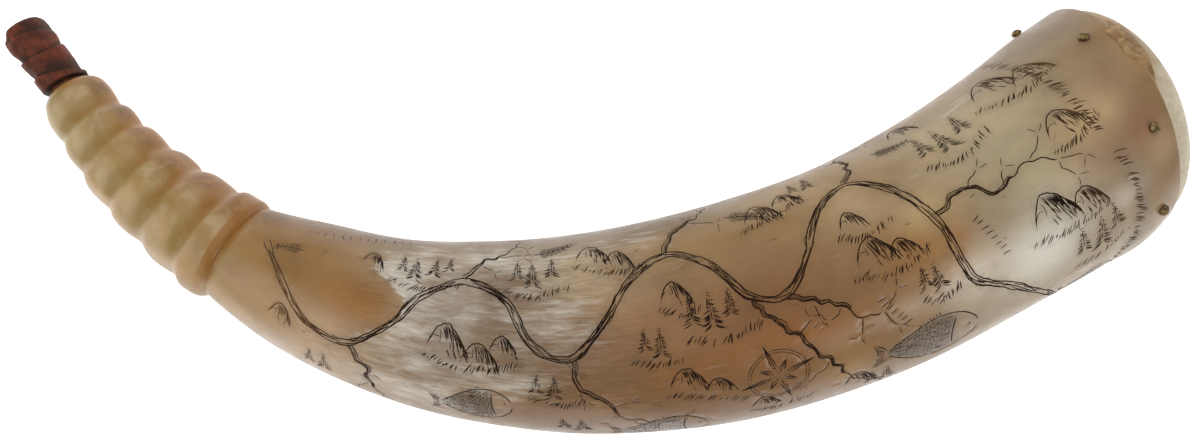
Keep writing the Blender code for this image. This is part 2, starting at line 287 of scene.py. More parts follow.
def unit(turn):
    """A direction in the map."""
    return np.array([math.cos(turn), math.sin(turn)])


print("A graver's line is", PLAIN, "mm wide")

# %% Water: a river of broken lines between two banks, and creeks that fork
RIVER_BREADTH, TICK_CHANCE = 1.75, 0.16


def river(course, breadth=RIVER_BREADTH):
    """Two wavering banks with broken lines of water between them, and ticks along the banks."""
    line = flowing(course)
    left = sideways(line)
    swell = 1 + waver(len(line), 0.16, 9)
    for side in (-0.5, 0.5):
        offset = side * breadth * swell + waver(len(line), 0.12, 3)
        cut(line + left * offset[:, None], PLAIN)
        start = chance.randrange(4, 14)
        while start < len(line) - 16:
            end = start + chance.randrange(8, 15)
            again = offset[start:end] + waver(end - start, 0.2, 3)
            cut(line[start:end] + left[start:end] * again[:, None], chance.uniform(HAIR, FINE), 0.85)
            start = end + chance.randrange(3, 16)
    for k in range(6, len(line) - 6):
        if chance.random() < TICK_CHANCE:
            bank = line[k] + left[k] * chance.choice((-0.5, 0.5)) * breadth * swell[k]
            dash(bank - left[k] * 0.35, bank + left[k] * 0.35 + (line[k + 1] - line[k]) * 0.5, BOLD)
    for lane in (-0.3, -0.1, 0.1, 0.3):
        start = chance.randrange(0, 8)
        while start < len(line) - 8:
            end = min(start + chance.randrange(7, 24), len(line))
            offset = lane * breadth * swell[start:end] + waver(end - start, 0.14, 3)
            cut(line[start:end] + left[start:end] * offset[:, None], chance.uniform(HAIR, PLAIN), 0.9)
            start = end + chance.randrange(2, 8)


def fork(start, turn, length, width, forks):
    """A thin branch that ends in smaller branches."""
    points = [np.asarray(start, float)]
    for _ in range(max(int(length / 1.2), 3)):
        turn += chance.gauss(0, 0.3)
        points.append(points[-1] + 1.2 * unit(turn))
    cut(points, width, 0.9)
    if forks:
        for side in (-0.65, 0.6):
            fork(points[-1], turn + side, length * chance.uniform(0.4, 0.65), width * 0.85, forks - 1)


def creek(course):
    """A crooked line, doubled over its first stretch, with branches along it and at its end."""
    line = flowing(course, 1.1)
    left = sideways(line)
    crooked = line + left * waver(len(line), 0.45, 2)[:, None]
    thick = int(len(line) * 0.7)
    cut(crooked, PLAIN)
    for gap, width in ((1.3, FINE), (0.9, HAIR), (0.45, HAIR)):
        offset = gap * np.linspace(1, 0.45, thick) + waver(thick, 0.12, 2)
        cut(crooked[:thick] + left[:thick] * offset[:, None], width)
    cut(crooked[:thick] - left[:thick] * waver(thick, 0.2, 2)[:, None], FINE, 0.8)
    for share in (0.3, 0.55, 0.8):
        k = int(len(line) * share)
        turn = math.atan2(*(line[k + 1] - line[k - 1])[::-1])
        branch_turn = turn + chance.choice((-1, 1)) * chance.uniform(0.7, 1.1)
        fork(line[k], branch_turn, chance.uniform(5, 11), FINE, 1)
    for side in (-0.45, 0.4):
        fork(crooked[-1], turn + side, 8, FINE, 1)


RIVER_COURSE = ((273, -11), (262, -3), (250, 6), (237, 8), (226, 0), (217, -11), (205, -17), (192, -12),
                (184, 0), (174, 4), (164, -5), (155, -17), (143, -24), (131, -18), (123, -7), (113, -4),
                (104, -12), (95, -24), (83, -29), (73, -21), (67, -8), (66, 6), (64, 13), (55, 21),
                (47, 31), (40, 44))
CREEK_COURSES = (
    ((237, 8), (231, 16), (228, 24), (222, 31)), ((205, -17), (200, -25), (193, -31), (190, -38)),
    ((143, -24), (138, -33), (130, -38), (126, -46)),
    ((123, -6), (116, 5), (110, 13), (104, 22), (99, 31), (93, 38)),
    ((83, -29), (78, -37), (80, -45), (74, -52)), ((67, -8), (57, -11), (48, -6), (39, -9), (31, -5)),
    ((174, 4), (172, 12), (165, 17), (160, 25), (152, 29)),
    ((113, -4), (106, 1), (101, 2), (96, 8), (90, 9)))
river(RIVER_COURSE)
for course in CREEK_COURSES:
    creek(course)
print("Strokes of water:", len(strokes))

# %% Land: hills with a shaded slope, pines, and rows of grass
def pine(foot, height):
    """A trunk with rows of hanging needles, shorter towards the top."""
    lean = chance.uniform(-0.1, 0.1)
    foot = np.asarray(foot, float)
    top = foot + height * np.array([lean, -1])
    dash(foot, top, PLAIN)
    tiers = int(height * 1.9)
    for k in range(tiers):
        share = (k + 0.7) / (tiers + 0.5)
        stem = foot + (top - foot) * (0.1 + 0.9 * share)
        for side in (-1, 1):
            reach = (height * 0.36 * (1 - share) + 0.4) * chance.uniform(0.7, 1.2)
            tip = stem + np.array([side * reach, reach * chance.uniform(0.3, 0.65)])
            dash(stem, tip, chance.uniform(FINE, PLAIN), side * 0.1)


def hill(left, width, height):
    """A rounded crest with its far slope in two passes of hatching."""
    left = np.asarray(left, float)
    t = np.linspace(0, 1, 14)
    crest = np.sin(np.pi * t ** 0.85) ** 0.9 * height + waver(14, 0.14, 1)
    cut(left + np.stack([-t * width, -crest], 1), PLAIN)
    lines = int(width * 2.1)
    for k in range(lines):
        share = 0.34 + 0.64 * (k + chance.uniform(-0.3, 0.3)) / lines
        top = np.interp(share, t, crest)
        fall = (height * 0.3 + top * 0.8) * chance.uniform(0.45, 1.05)
        start = left + np.array([-share * width, -top])
        end = start + fall * np.array([-chance.uniform(0.2, 0.42), 1])
        dash(start, end, chance.uniform(HAIR, PLAIN), 0.06)
    for k in range(int(width * 1.1)):
        share = chance.uniform(0.4, 0.98)
        top = np.interp(share, t, crest) * chance.uniform(0.1, 0.6)
        start = left + np.array([-share * width, -top])
        end = start + height * 0.4 * np.array([-chance.uniform(0.2, 0.5), 1])
        dash(start, end, chance.uniform(HAIR, FINE))
    for top_left, top_right, drop in ((0.14, 0.3, 0.5), (0.3, 0.24, 0.75), (0.05, 0.2, 0.28)):
        start, end = (left + np.array([-share * width, -drop_to * np.interp(share, t, crest)])
                      for share, drop_to in ((top_left, 0.9), (top_right + 0.06, 1 - drop)))
        dash(start, end, HAIR, 0.12, 0.85)


def tufts(course, length=2.8, spacing=0.62):
    """A row of short slanting strokes, as shading along the ground."""
    line = flowing(course, spacing)
    left = sideways(line)
    along = np.stack([left[:, 1], -left[:, 0]], 1)
    for p, side, ahead in zip(line, left, along):
        if chance.random() < 0.14:
            continue
        size = length * chance.uniform(0.4, 1.3)
        start = p + ahead * chance.uniform(-0.3, 0.3) - side * size * chance.uniform(0.2, 0.6)
        end = start + (side + ahead * chance.gauss(0.5, 0.16)) * size
        dash(start, end, chance.uniform(HAIR, PLAIN), 0.06)


PINES = (
    ((226, -17), 6.5), ((221.5, -15), 8.5), ((216, -17.5), 7), ((211, -20), 5.5), ((189, -19), 7.5),
    ((184, -16.5), 9.5), ((178.5, -20), 7.5), ((139, -2), 8), ((134, 0), 10.5), ((128.5, -2.5), 8),
    ((57, -26), 9), ((51, -23.5), 11), ((45, -27), 8.5), ((34, 23), 8.5), ((28.5, 25), 10.5),
    ((23, 21), 8), ((247, 20.5), 6), ((242.5, 22), 7.5), ((98, -35), 6), ((93.5, -34), 7.5),
    ((153, 3), 6.5), ((149, 5), 8), ((183, 14), 6.5), ((178.5, 16), 8), ((77, 8), 7), ((73, 10), 8),
    ((96, 36), 7), ((92, 38), 8.5), ((176, 31), 7), ((171, 33), 8))
HILLS = (
    ((214, 4), 12, 8), ((204, 7), 11, 6.5), ((171, -25), 11, 6.5), ((162, -22.5), 9, 5.5),
    ((117, -27), 12, 7.5), ((107, -30), 10, 6), ((45, 9), 13, 8.5), ((34, 11), 10, 6.5),
    ((37, -33), 12, 8), ((27, -29), 10, 6.5), ((92, -4), 12, 7), ((83, -2), 9, 5.5), ((30, -10), 11, 7),
    ((262, 9), 8, 5), ((196, 3), 8, 5), ((148, 16), 10, 6.5), ((139, 19), 8, 5), ((104, 33), 9, 6),
    ((240, -16), 8, 5), ((62, -40), 9, 6), ((147, -9), 9, 6), ((92, -15), 8, 5), ((128, 30), 8, 5))
GRASS = (
    ((230, -14), (221, -12), (208, -15)), ((193, -15), (184, -13), (174, -16)),
    ((142, 2), (132, 4), (122, 2)), ((61, -21), (50, -19), (40, -23)), ((37, 28), (29, 29), (20, 25)),
    ((215, 6), (203, 9), (189, 7)), ((172, -23), (160, -20), (150, -21)),
    ((119, -25), (107, -27), (97, -31)), ((47, 12), (35, 14), (23, 13)),
    ((39, -30), (26, -26), (17, -28)), ((94, -1.5), (82, 1), (72, -2)), ((31, -7), (24, -6), (17, -9)),
    ((157, 6), (150, 8), (143, 7)), ((185, 16), (177, 19), (171, 18)), ((149, 18), (138, 21), (130, 24)),
    ((148, -7), (141, -5), (134, -7)), ((80, 11), (75, 13), (69, 12)), ((94, -13), (86, -11), (78, -13)),
    ((129, 31), (121, 33), (113, 31)))
RIM_GRASS = (
    ((25, -50), (24, -40), (22, -28), (20, -16), (19, -5)),
    ((18, 1), (16, 10), (16, 20), (18, 30), (22, 38)))
for left, width, height in HILLS:
    hill(left, width, height)
for foot, height in PINES:
    pine(foot, height)
for course in GRASS:
    tufts(course)
for course in RIM_GRASS:
    tufts(course, 3.6, 0.5)
print("Strokes with the land:", len(strokes))

# %% A compass star, fish, sprays of leaves, and worn rows of strokes where the horn has words
STAR_RINGS = (0.66, 0.73)   # as shares of a star's radius


def star(centre, radius, turned=0.25):
    """Four long points and four short ones, each hatched along one side, in a double ring."""
    centre = np.asarray(centre, float)
    for k in range(8):
        turn = turned + k * math.pi / 4
        rows, reach = (10, radius) if k % 2 == 0 else (6, 0.52 * radius)
        tip = centre + reach * unit(turn)
        waists = [centre + 0.16 * radius * unit(turn + side * 0.51) for side in (-1, 1)]
        for waist in waists:
            dash(waist, tip, PLAIN)
        dash(centre, tip, FINE)
        for n in range(1, rows):
            dash(centre + (tip - centre) * n / rows, waists[1] + (tip - waists[1]) * n / rows, HAIR)
    around = np.linspace(0, 2 * math.pi, 49)
    for reach in STAR_RINGS:
        cut(centre + reach * radius * np.stack([np.cos(around), np.sin(around)], 1), HAIR, 0.8)


SCALE_COLUMNS, SCALE_ROWS, FISH_SHADING = 15, 8, 56         # strokes of each kind on one fish
FISH_BODY = 0.86            # the share of a fish's length before its tail


def plumpness(share, length):
    """Half the breadth of a fish at a share of its length."""
    return 0.27 * length * np.maximum(np.sin(np.pi * np.clip(share, 0, 1) ** 0.72), 0) ** 0.8


def fish(centre, length, turn):
    """A plump outline with a forked tail, a gill, an eye and rows of scales, shaded along the back."""
    centre, along = np.asarray(centre, float), unit(turn)
    across = np.array([-along[1], along[0]])
    t = np.linspace(0, 1, 28)
    girth = np.maximum(plumpness(t, length), 0.03 * length * (t > 0.9))

    def at(share, out):
        return centre + along * (share - 0.5) * length * FISH_BODY + across * out

    def half(share):
        return np.interp(share, t, girth)

    for side in (-1, 1):
        cut([at(s, side * h) for s, h in zip(t, girth)], PLAIN)
        fin = at(1.16, side * 0.16 * length)
        dash(at(0.97, side * 0.02 * length), fin, PLAIN, side * 0.1)
        dash(fin, at(1.08, 0), FINE, -side * 0.1)
        for n in range(5):
            dash(at(1.0, side * 0.01 * length * n), at(1.13, side * length * (0.03 + 0.025 * n)), HAIR)
    cut([at(0.24 + 0.05 * (1 - y * y), y * half(0.27)) for y in np.linspace(-0.8, 0.8, 9)], PLAIN)
    cut([at(0.12 + 0.02 * math.cos(q), 0.02 * length * math.sin(q) - 0.03 * length)
         for q in np.linspace(0, 2 * math.pi, 10)], FINE)
    for n in range(SCALE_COLUMNS):
        for m in range(SCALE_ROWS):
            share = 0.31 + 0.62 * (n + chance.uniform(-0.2, 0.2)) / SCALE_COLUMNS
            out = ((m + 0.5 * (n % 2)) / SCALE_ROWS * 2 - 0.9) * half(share) * 0.92
            scale = half(share) / SCALE_ROWS
            dash(at(share, out - scale), at(share, out + scale), FINE, -0.35)
    for _ in range(FISH_SHADING):
        share = chance.uniform(0.28, 0.9)
        out = (chance.random() ** 1.4 * 1.7 - 0.92) * half(share)
        dash(at(share, out), at(share + chance.uniform(0.05, 0.14), out * 0.97), HAIR, 0.0, 0.8)
    for n in range(7):
        share = 0.42 + 0.035 * n
        dash(at(share, -half(share)), at(share + 0.03, -half(share) - 0.06 * length * (1 - n / 9)), FINE)


def spray(root, length, turn, bend):
    """Pairs of narrow leaves on a bowed stem."""
    t = np.linspace(0, 1, 12)
    turns = turn + bend * (t - 0.5)
    stem = np.asarray(root, float) + np.cumsum(np.stack([np.cos(turns), np.sin(turns)], 1), 0) * length / 11
    cut(stem, PLAIN)
    for share in np.linspace(0.16, 0.92, 7):
        base = np.array([np.interp(share, t, stem[:, k]) for k in (0, 1)])
        for side in (-1, 1):
            tip = base + length * 0.27 * (1 - 0.5 * share) * unit(turn + bend * (share - 0.5) + side * 0.7)
            for bow in (0.2, 0.0, -0.16):
                dash(base, tip, FINE if bow else HAIR, side * bow)


def worn_row(start, end, count, size):
    """A row of plain strokes of uneven height."""
    start, end = np.asarray(start, float), np.asarray(end, float)
    along = (end - start) / np.hypot(*(end - start))
    across = np.array([-along[1], along[0]])
    for k in range(count):
        middle = start + (end - start) * (k + 0.5 + chance.uniform(-0.12, 0.12)) / count
        slanted = (across + along * chance.gauss(0.15, 0.12)) * size
        low = middle - slanted * chance.uniform(0.35, 0.55)
        dash(low, middle + slanted * chance.uniform(0.35, 0.55), FINE)


STAR = ((120, 18), 11)
FISHES = (((199, 21), 23, 0.12), ((150, 34), 26, 0.05), ((79, 26), 30, -0.15), ((31, 42), 22, -0.3))
SPRAYS = (((186, -29), 14, math.pi + 0.35, 0.5), ((124, -34), 15, math.pi - 0.4, -0.4),
          ((258, -13), 11, 0.25, 0.5), ((72, -38), 13, math.pi - 0.2, 0.5))
WORN_ROWS = (((263, -20), (226, -31), 13, 3.4), ((166, 27), (158, 41), 8, 3.2),
             ((90, 5), (84, 16), 7, 3.6), ((58, -4), (54, 10), 8, 3.4))
star(*STAR)
for centre, length, turn in FISHES:
    fish(centre, length, turn)
for root, length, turn, bend in SPRAYS:
    spray(root, length, turn, bend)
for start, end, count, size in WORN_ROWS:
    worn_row(start, end, count, size)
print("Strokes in all:", len(strokes), "with", sum(len(points) for points, _, _ in strokes), "points")

# %% Wear: a long scratch, an oval nick, and small dents and scratches
cut(((176.4, 3.6), (174.6, 4.6), (172.5, 7.4), (170.4, 9.2), (169, 10.4)), HAIR, 0.7)
cut(((170.6, 8.2), (169.6, 8.6), (169.2, 9.8)), FINE, 0.6)
cut(((171.8, 11.2), (170.9, 10.6), (169.9, 11.2)), PLAIN, 0)
around = np.linspace(0, 2 * math.pi, 15)
cut(np.stack([175 + 2.1 * np.cos(around), 13.2 + 0.75 * np.sin(around)], 1), BOLD, 0)
cut(((177.2, 13.6), (175.4, 14.3), (173.2, 13.9)), HAIR, 0.5)
# where each starts, its direction, its length and how dark it is
SCRATCHES = (
    ((252, -17), 1.2, 4, 0), ((137, -19), 0.1, 3.2, 0.35), ((133, -22), 0.15, 2, 0.3),
    ((160, -22), 0.0, 2.6, 0.3), ((157, -18), 0.2, 1.8, 0.35), ((27, -12), 0.7, 4, 0),
    ((33, 10), 0.5, 9, 0), ((29, 13), 0.45, 6, 0), ((66, 2), 0.3, 2.4, 0.5), ((63, -2), 0.2, 1.6, 0.5),
    ((92, 12), -0.1, 5, 0), ((212, 16), 0.1, 5, 0))
for start, turn, length, dark in SCRATCHES:
    dash(start, np.array(start) + length * unit(turn), HAIR, 0.05, dark)
SMALL_SCRATCHES = 70
for _ in range(SMALL_SCRATCHES):
    start = np.array([chance.uniform(12, 270), chance.uniform(-34, 40)])
    end = start + chance.uniform(0.8, 3.2) * unit(chance.gauss(0, 0.35))
    dash(start, end, HAIR, 0.05, chance.choice((0, 0, 0.25)))
print("Strokes with the wear:", len(strokes))


# %% [markdown]
# The grooves are real. Each stroke becomes a thin polygon with a middle line, pointed at both ends,
# and all of them are laid into the grid of the flat map by a constrained Delaunay triangulation, which
# keeps every stroke's edges as edges of the mesh. Points inside a stroke are then pushed in, deepest on
# its middle line. A Boolean with 3,900 cutters would be slower, and a displaced grid far too coarse.

# %% The flat map and its scale
GRID_ALONG, GRID_AROUND = 104, 120
MAP_RADIUS = 34.0           # the radius at which the map's width is true
GROOVE_DEPTH = 0.16
POINTED = 1.0               # how far from a stroke's end its width starts to shrink
body_end = NECK_START * HORN_LENGTH
grid_angles = -math.pi / 2 + 2 * math.pi * np.arange(GRID_AROUND + 1) / GRID_AROUND


def angle_of(along, around):
    """The angle in the cross-section of a point of the drawing, from the top line."""
    return math.pi / 2 + around / law_radius(along / HORN_LENGTH)


def tapered(points, width):
    """Half widths along a stroke that shrink to nothing at both ends."""
    run = run_of(points)
    nearest = np.minimum(run, run[-1] - run)
    return width / 2 * np.clip(nearest / min(POINTED, 0.4 * run[-1]), 0, 1) ** 0.6


def onto_map(points):
    """Points of the drawing on the flat map, where all distances round the horn are at one radius."""
    return np.stack([points[:, 0], (angle_of(points[:, 0], points[:, 1]) - math.pi / 2) * MAP_RADIUS], 1)


grid_places = np.linspace(RIM_ROUND, body_end, GRID_ALONG + 1)
along_grid, angle_grid = np.meshgrid(grid_places, grid_angles, indexing="ij")
map_points = [np.stack([along_grid.ravel(), (angle_grid.ravel() - math.pi / 2) * MAP_RADIUS], 1)]
index = np.arange((GRID_ALONG + 1) * (GRID_AROUND + 1)).reshape(GRID_ALONG + 1, GRID_AROUND + 1)
map_edges = [np.stack([line[:-1], line[1:]], 1)
             for line in (index[0], index[-1], index[:, 0], index[:, -1])]
print("Grid points on the map:", index.size)

# %% Lay the strokes into the map
BODY_MARGIN = 3             # strokes that come nearer to the rim or the collar are left out, in mm
MAP_WELD = 1e-4             # points of the map that are nearer than this become one
count = index.size
inner = slice(1, -1)        # all the points of a stroke but its ends
grooves = []                # points, half widths, darkness and left side of each stroke, kept for the ink
for points, width, dark in strokes:
    if points[:, 0].min() < BODY_MARGIN or points[:, 0].max() > body_end - BODY_MARGIN:
        continue
    halves = tapered(points, width)
    left = sideways(points)
    sides = [onto_map(points[inner] + side * left[inner] * halves[inner, None]) for side in (-1, 1)]
    middle = onto_map(points)
    map_points += [middle, *sides]
    n = len(points)
    spine = count + np.arange(n)
    map_edges.append(np.stack([spine[:-1], spine[1:]], 1))
    for k in range(2):
        edge = np.concatenate([spine[:1], count + n + k * (n - 2) + np.arange(n - 2), spine[-1:]])
        map_edges.append(np.stack([edge[:-1], edge[1:]], 1))
    count += n + 2 * (n - 2)
    grooves.append((points, halves, dark, left))
flat = np.vstack(map_points)
corners = [Vector(p) for p in flat.tolist()]
laid = delaunay_2d_cdt(corners, np.vstack(map_edges).tolist(), [], 0, MAP_WELD, False)
map_xy = np.array([v[:] for v in laid[0]])
map_faces = [face for face in laid[2] if len(face) == 3]
print("Points after the strokes are laid in:", len(map_xy), "and triangles:", len(map_faces))

# %% How deep each point lies
SAMPLE_STEP = 0.22
samples = []
for points, halves, dark, left in grooves:
    run = run_of(points)
    places = np.linspace(0, run[-1], max(int(run[-1] / SAMPLE_STEP), 2) + 1)
    fine = np.stack([np.interp(places, run, points[:, k]) for k in (0, 1)], 1)
    samples.append(np.column_stack([fine, np.interp(places, run, halves)]))
samples = np.vstack(samples)
inked = samples[:, :2]
at_samples = on_horn(inked[:, 0] / HORN_LENGTH, angle_of(inked[:, 0], inked[:, 1]))
samples = np.column_stack([at_samples, samples[:, 2]])
near = KDTree(len(samples))
for k, sample in enumerate(samples.tolist()):
    near.insert(sample[:3], k)
near.balance()
skin_share = map_xy[:, 0] / HORN_LENGTH
skin_angle = math.pi / 2 + map_xy[:, 1] / MAP_RADIUS
surface = on_horn(skin_share, skin_angle)
widest = samples[:, 3].max()
skin_depth = np.zeros(len(surface))
for k, point in enumerate(surface.tolist()):
    for _, sample, distance in near.find_range(point, widest):
        half = samples[sample, 3]
        if distance < half:
            skin_depth[k] = max(skin_depth[k], 1 - distance / half)
print("Points in grooves:", int((skin_depth > 0).sum()), "of", len(skin_depth))


# %% [markdown]
# The rest of the horn is rings of points joined by quads: the neck, the mouth with its straight reamed
# taper, the bore, the scraped hollow, and the rim. They use the angles of the map's grid, so their end
# rings fall on the engraved skin's and are merged with it into one closed wall.

# %% Rings of the neck, the bore, the hollow and the rim
NECK_ROWS, COLLAR_ROWS, MOUTH_ROWS, HOLLOW_ROWS, RIM_ROWS = 88, 8, 6, 14, 4
COLLAR_FLANK = 0.006        # the share of the length over which the collar rises from the body
HOLLOW_START = 0.92         # the share of the length where the mouth's taper gives way to the bore
MOUTH_LIP = 0.5
ring_angles = grid_angles[:-1]


def ring(share, radius):
    """One ring of points at a radius, for a single share of the length."""
    points = place(np.full(len(ring_angles), share), ring_angles, radius) + shift
    points[:, 2] = np.maximum(points[:, 2], 0)
    return points


neck_shares = np.concatenate([NECK_START + COLLAR_FLANK * np.arange(COLLAR_ROWS) / COLLAR_ROWS,
                              np.linspace(NECK_START + COLLAR_FLANK, 1, NECK_ROWS)])
rings = [on_horn(np.full(GRID_AROUND, share), ring_angles) for share in neck_shares]
mouth_centre, mouth_turn = section(1.0)
mouth_out = np.array([math.cos(mouth_turn), math.sin(mouth_turn), 0])
mouth_side = np.array([-math.sin(mouth_turn), math.cos(mouth_turn), 0])
circle = np.outer(np.cos(ring_angles), mouth_side) + np.outer(np.sin(ring_angles), [0, 0, 1])
for depth in np.linspace(0, MOUTH_DEPTH, MOUTH_ROWS):
    lip = MOUTH_LIP if depth == 0 else 0
    radius = MOUTH_RADIUS - (MOUTH_RADIUS - BORE_RADIUS) * depth / MOUTH_DEPTH + lip
    rings.append(mouth_centre + shift + mouth_out * depth + radius * circle)
hollow_shares = np.linspace(HOLLOW_START, 0, HOLLOW_ROWS)
for share in hollow_shares:
    wall = RIM_WALL + TIP_WALL * (share / CAVITY_SHARE) ** 3
    hollow = BASE_RADIUS * float(smooth_through(BODY_PROFILE, share)) - wall
    rings.append(ring(share, max(hollow, BORE_RADIUS)))
rim_radius = skin_radius(RIM_ROUND / HORN_LENGTH, ring_angles)
for turn in np.linspace(0, math.pi / 2, RIM_ROWS):
    share = RIM_ROUND * (1 - math.cos(turn)) / HORN_LENGTH
    rings.append(ring(share, rim_radius - RIM_ROUND * (1 - math.sin(turn))))
print("Rings:", len(rings))

# %% Join the skin and the rings into the horn
def new_piece(name, points, faces):
    """An object at the origin from points in millimetres and faces."""
    mesh = bpy.data.meshes.new(name)
    mesh.from_pydata((np.asarray(points) * MM).tolist(), [], faces)
    mesh.update()
    piece = bpy.data.objects.new(name, mesh)
    bpy.context.scene.collection.objects.link(piece)
    return piece


def tend(piece, work):
    """Run some bmesh work on a piece's mesh."""
    shape = bmesh.new()
    shape.from_mesh(piece.data)
    work(shape)
    shape.to_mesh(piece.data)
    shape.free()


def turn_out(shape):
    """Point all faces outwards."""
    bmesh.ops.recalc_face_normals(shape, faces=shape.faces)


def close_and_turn_out(shape):
    """Merge the open borders where they meet, and point all faces outwards."""
    border = [vert for vert in shape.verts if vert.is_boundary]
    bmesh.ops.remove_doubles(shape, verts=border, dist=MERGE)
    turn_out(shape)


def quads(rows, sides, first=0):
    """Faces between rings of points that follow each other."""
    return [(first + r * sides + k, first + r * sides + (k + 1) % sides,
             first + (r + 1) * sides + (k + 1) % sides, first + (r + 1) * sides + k)
            for r in range(rows - 1) for k in range(sides)]


MERGE = 2e-6                # in metres, the reach within which the borders are merged
cut_skin = on_horn(skin_share, skin_angle, GROOVE_DEPTH * skin_depth)
points = np.vstack([cut_skin, *rings])
faces = map_faces + quads(len(rings), GRID_AROUND, len(cut_skin))
horn = new_piece("engraved_horn", points, faces)
ring_shares = np.concatenate([neck_shares, np.ones(MOUTH_ROWS), hollow_shares, np.zeros(RIM_ROWS)])
share_of = np.concatenate([skin_share, np.repeat(ring_shares, GRID_AROUND)])
angle_of_point = np.concatenate([skin_angle, np.tile(ring_angles, len(rings))])
place_on_horn = horn.data.attributes.new("place_on_horn", "FLOAT_VECTOR", "POINT")
reach = law_radius(share_of)
straightened = np.stack([share_of * HORN_LENGTH, reach * np.cos(angle_of_point),
                         reach * np.sin(angle_of_point)], 1)
place_on_horn.data.foreach_set("vector", straightened.astype(np.float32).ravel())
tend(horn, close_and_turn_out)
faces_at_edges = np.bincount([loop.edge_index for loop in horn.data.loops])
open_edges = int((faces_at_edges != 2).sum())
triangles = sum(len(face.vertices) - 2 for face in horn.data.polygons)
print("Horn:", len(horn.data.vertices), "points,", triangles, "triangles,", open_edges, "open edges")

# %% [markdown]
# A horn is not one colour. It goes from brown at the rim through cream and amber to honey at the neck,
# with pale clouds that were scraped or bleached. Each patch below is a soft spot laid over the last,
# by its place along the horn and round it from the top line. Some patches are partly painted light and
# shade, and the flanks are painted darker. The material adds the fine streaks.

# %% Tone of the horn: soft patches laid over each other
def seen(red, green, blue):
    """A colour as it looks on a screen, from 0 to 255, as the linear values that a shader takes."""
    share = np.array([red, green, blue]) / 255
    return np.where(share <= 0.04045, share / 12.92, ((share + 0.055) / 1.055) ** 2.4)


TAN, BROWN, UMBER, PINK = (150, 121, 84), (146, 115, 78), (126, 95, 62), (150, 104, 78)
SAND, OCHRE, BISCUIT, SLATE = (182, 166, 134), (164, 130, 82), (154, 121, 74), (104, 91, 76)
AMBER, HONEY, ORANGE, FISH_SLATE = (134, 88, 42), (157, 115, 64), (166, 119, 62), (98, 85, 70)
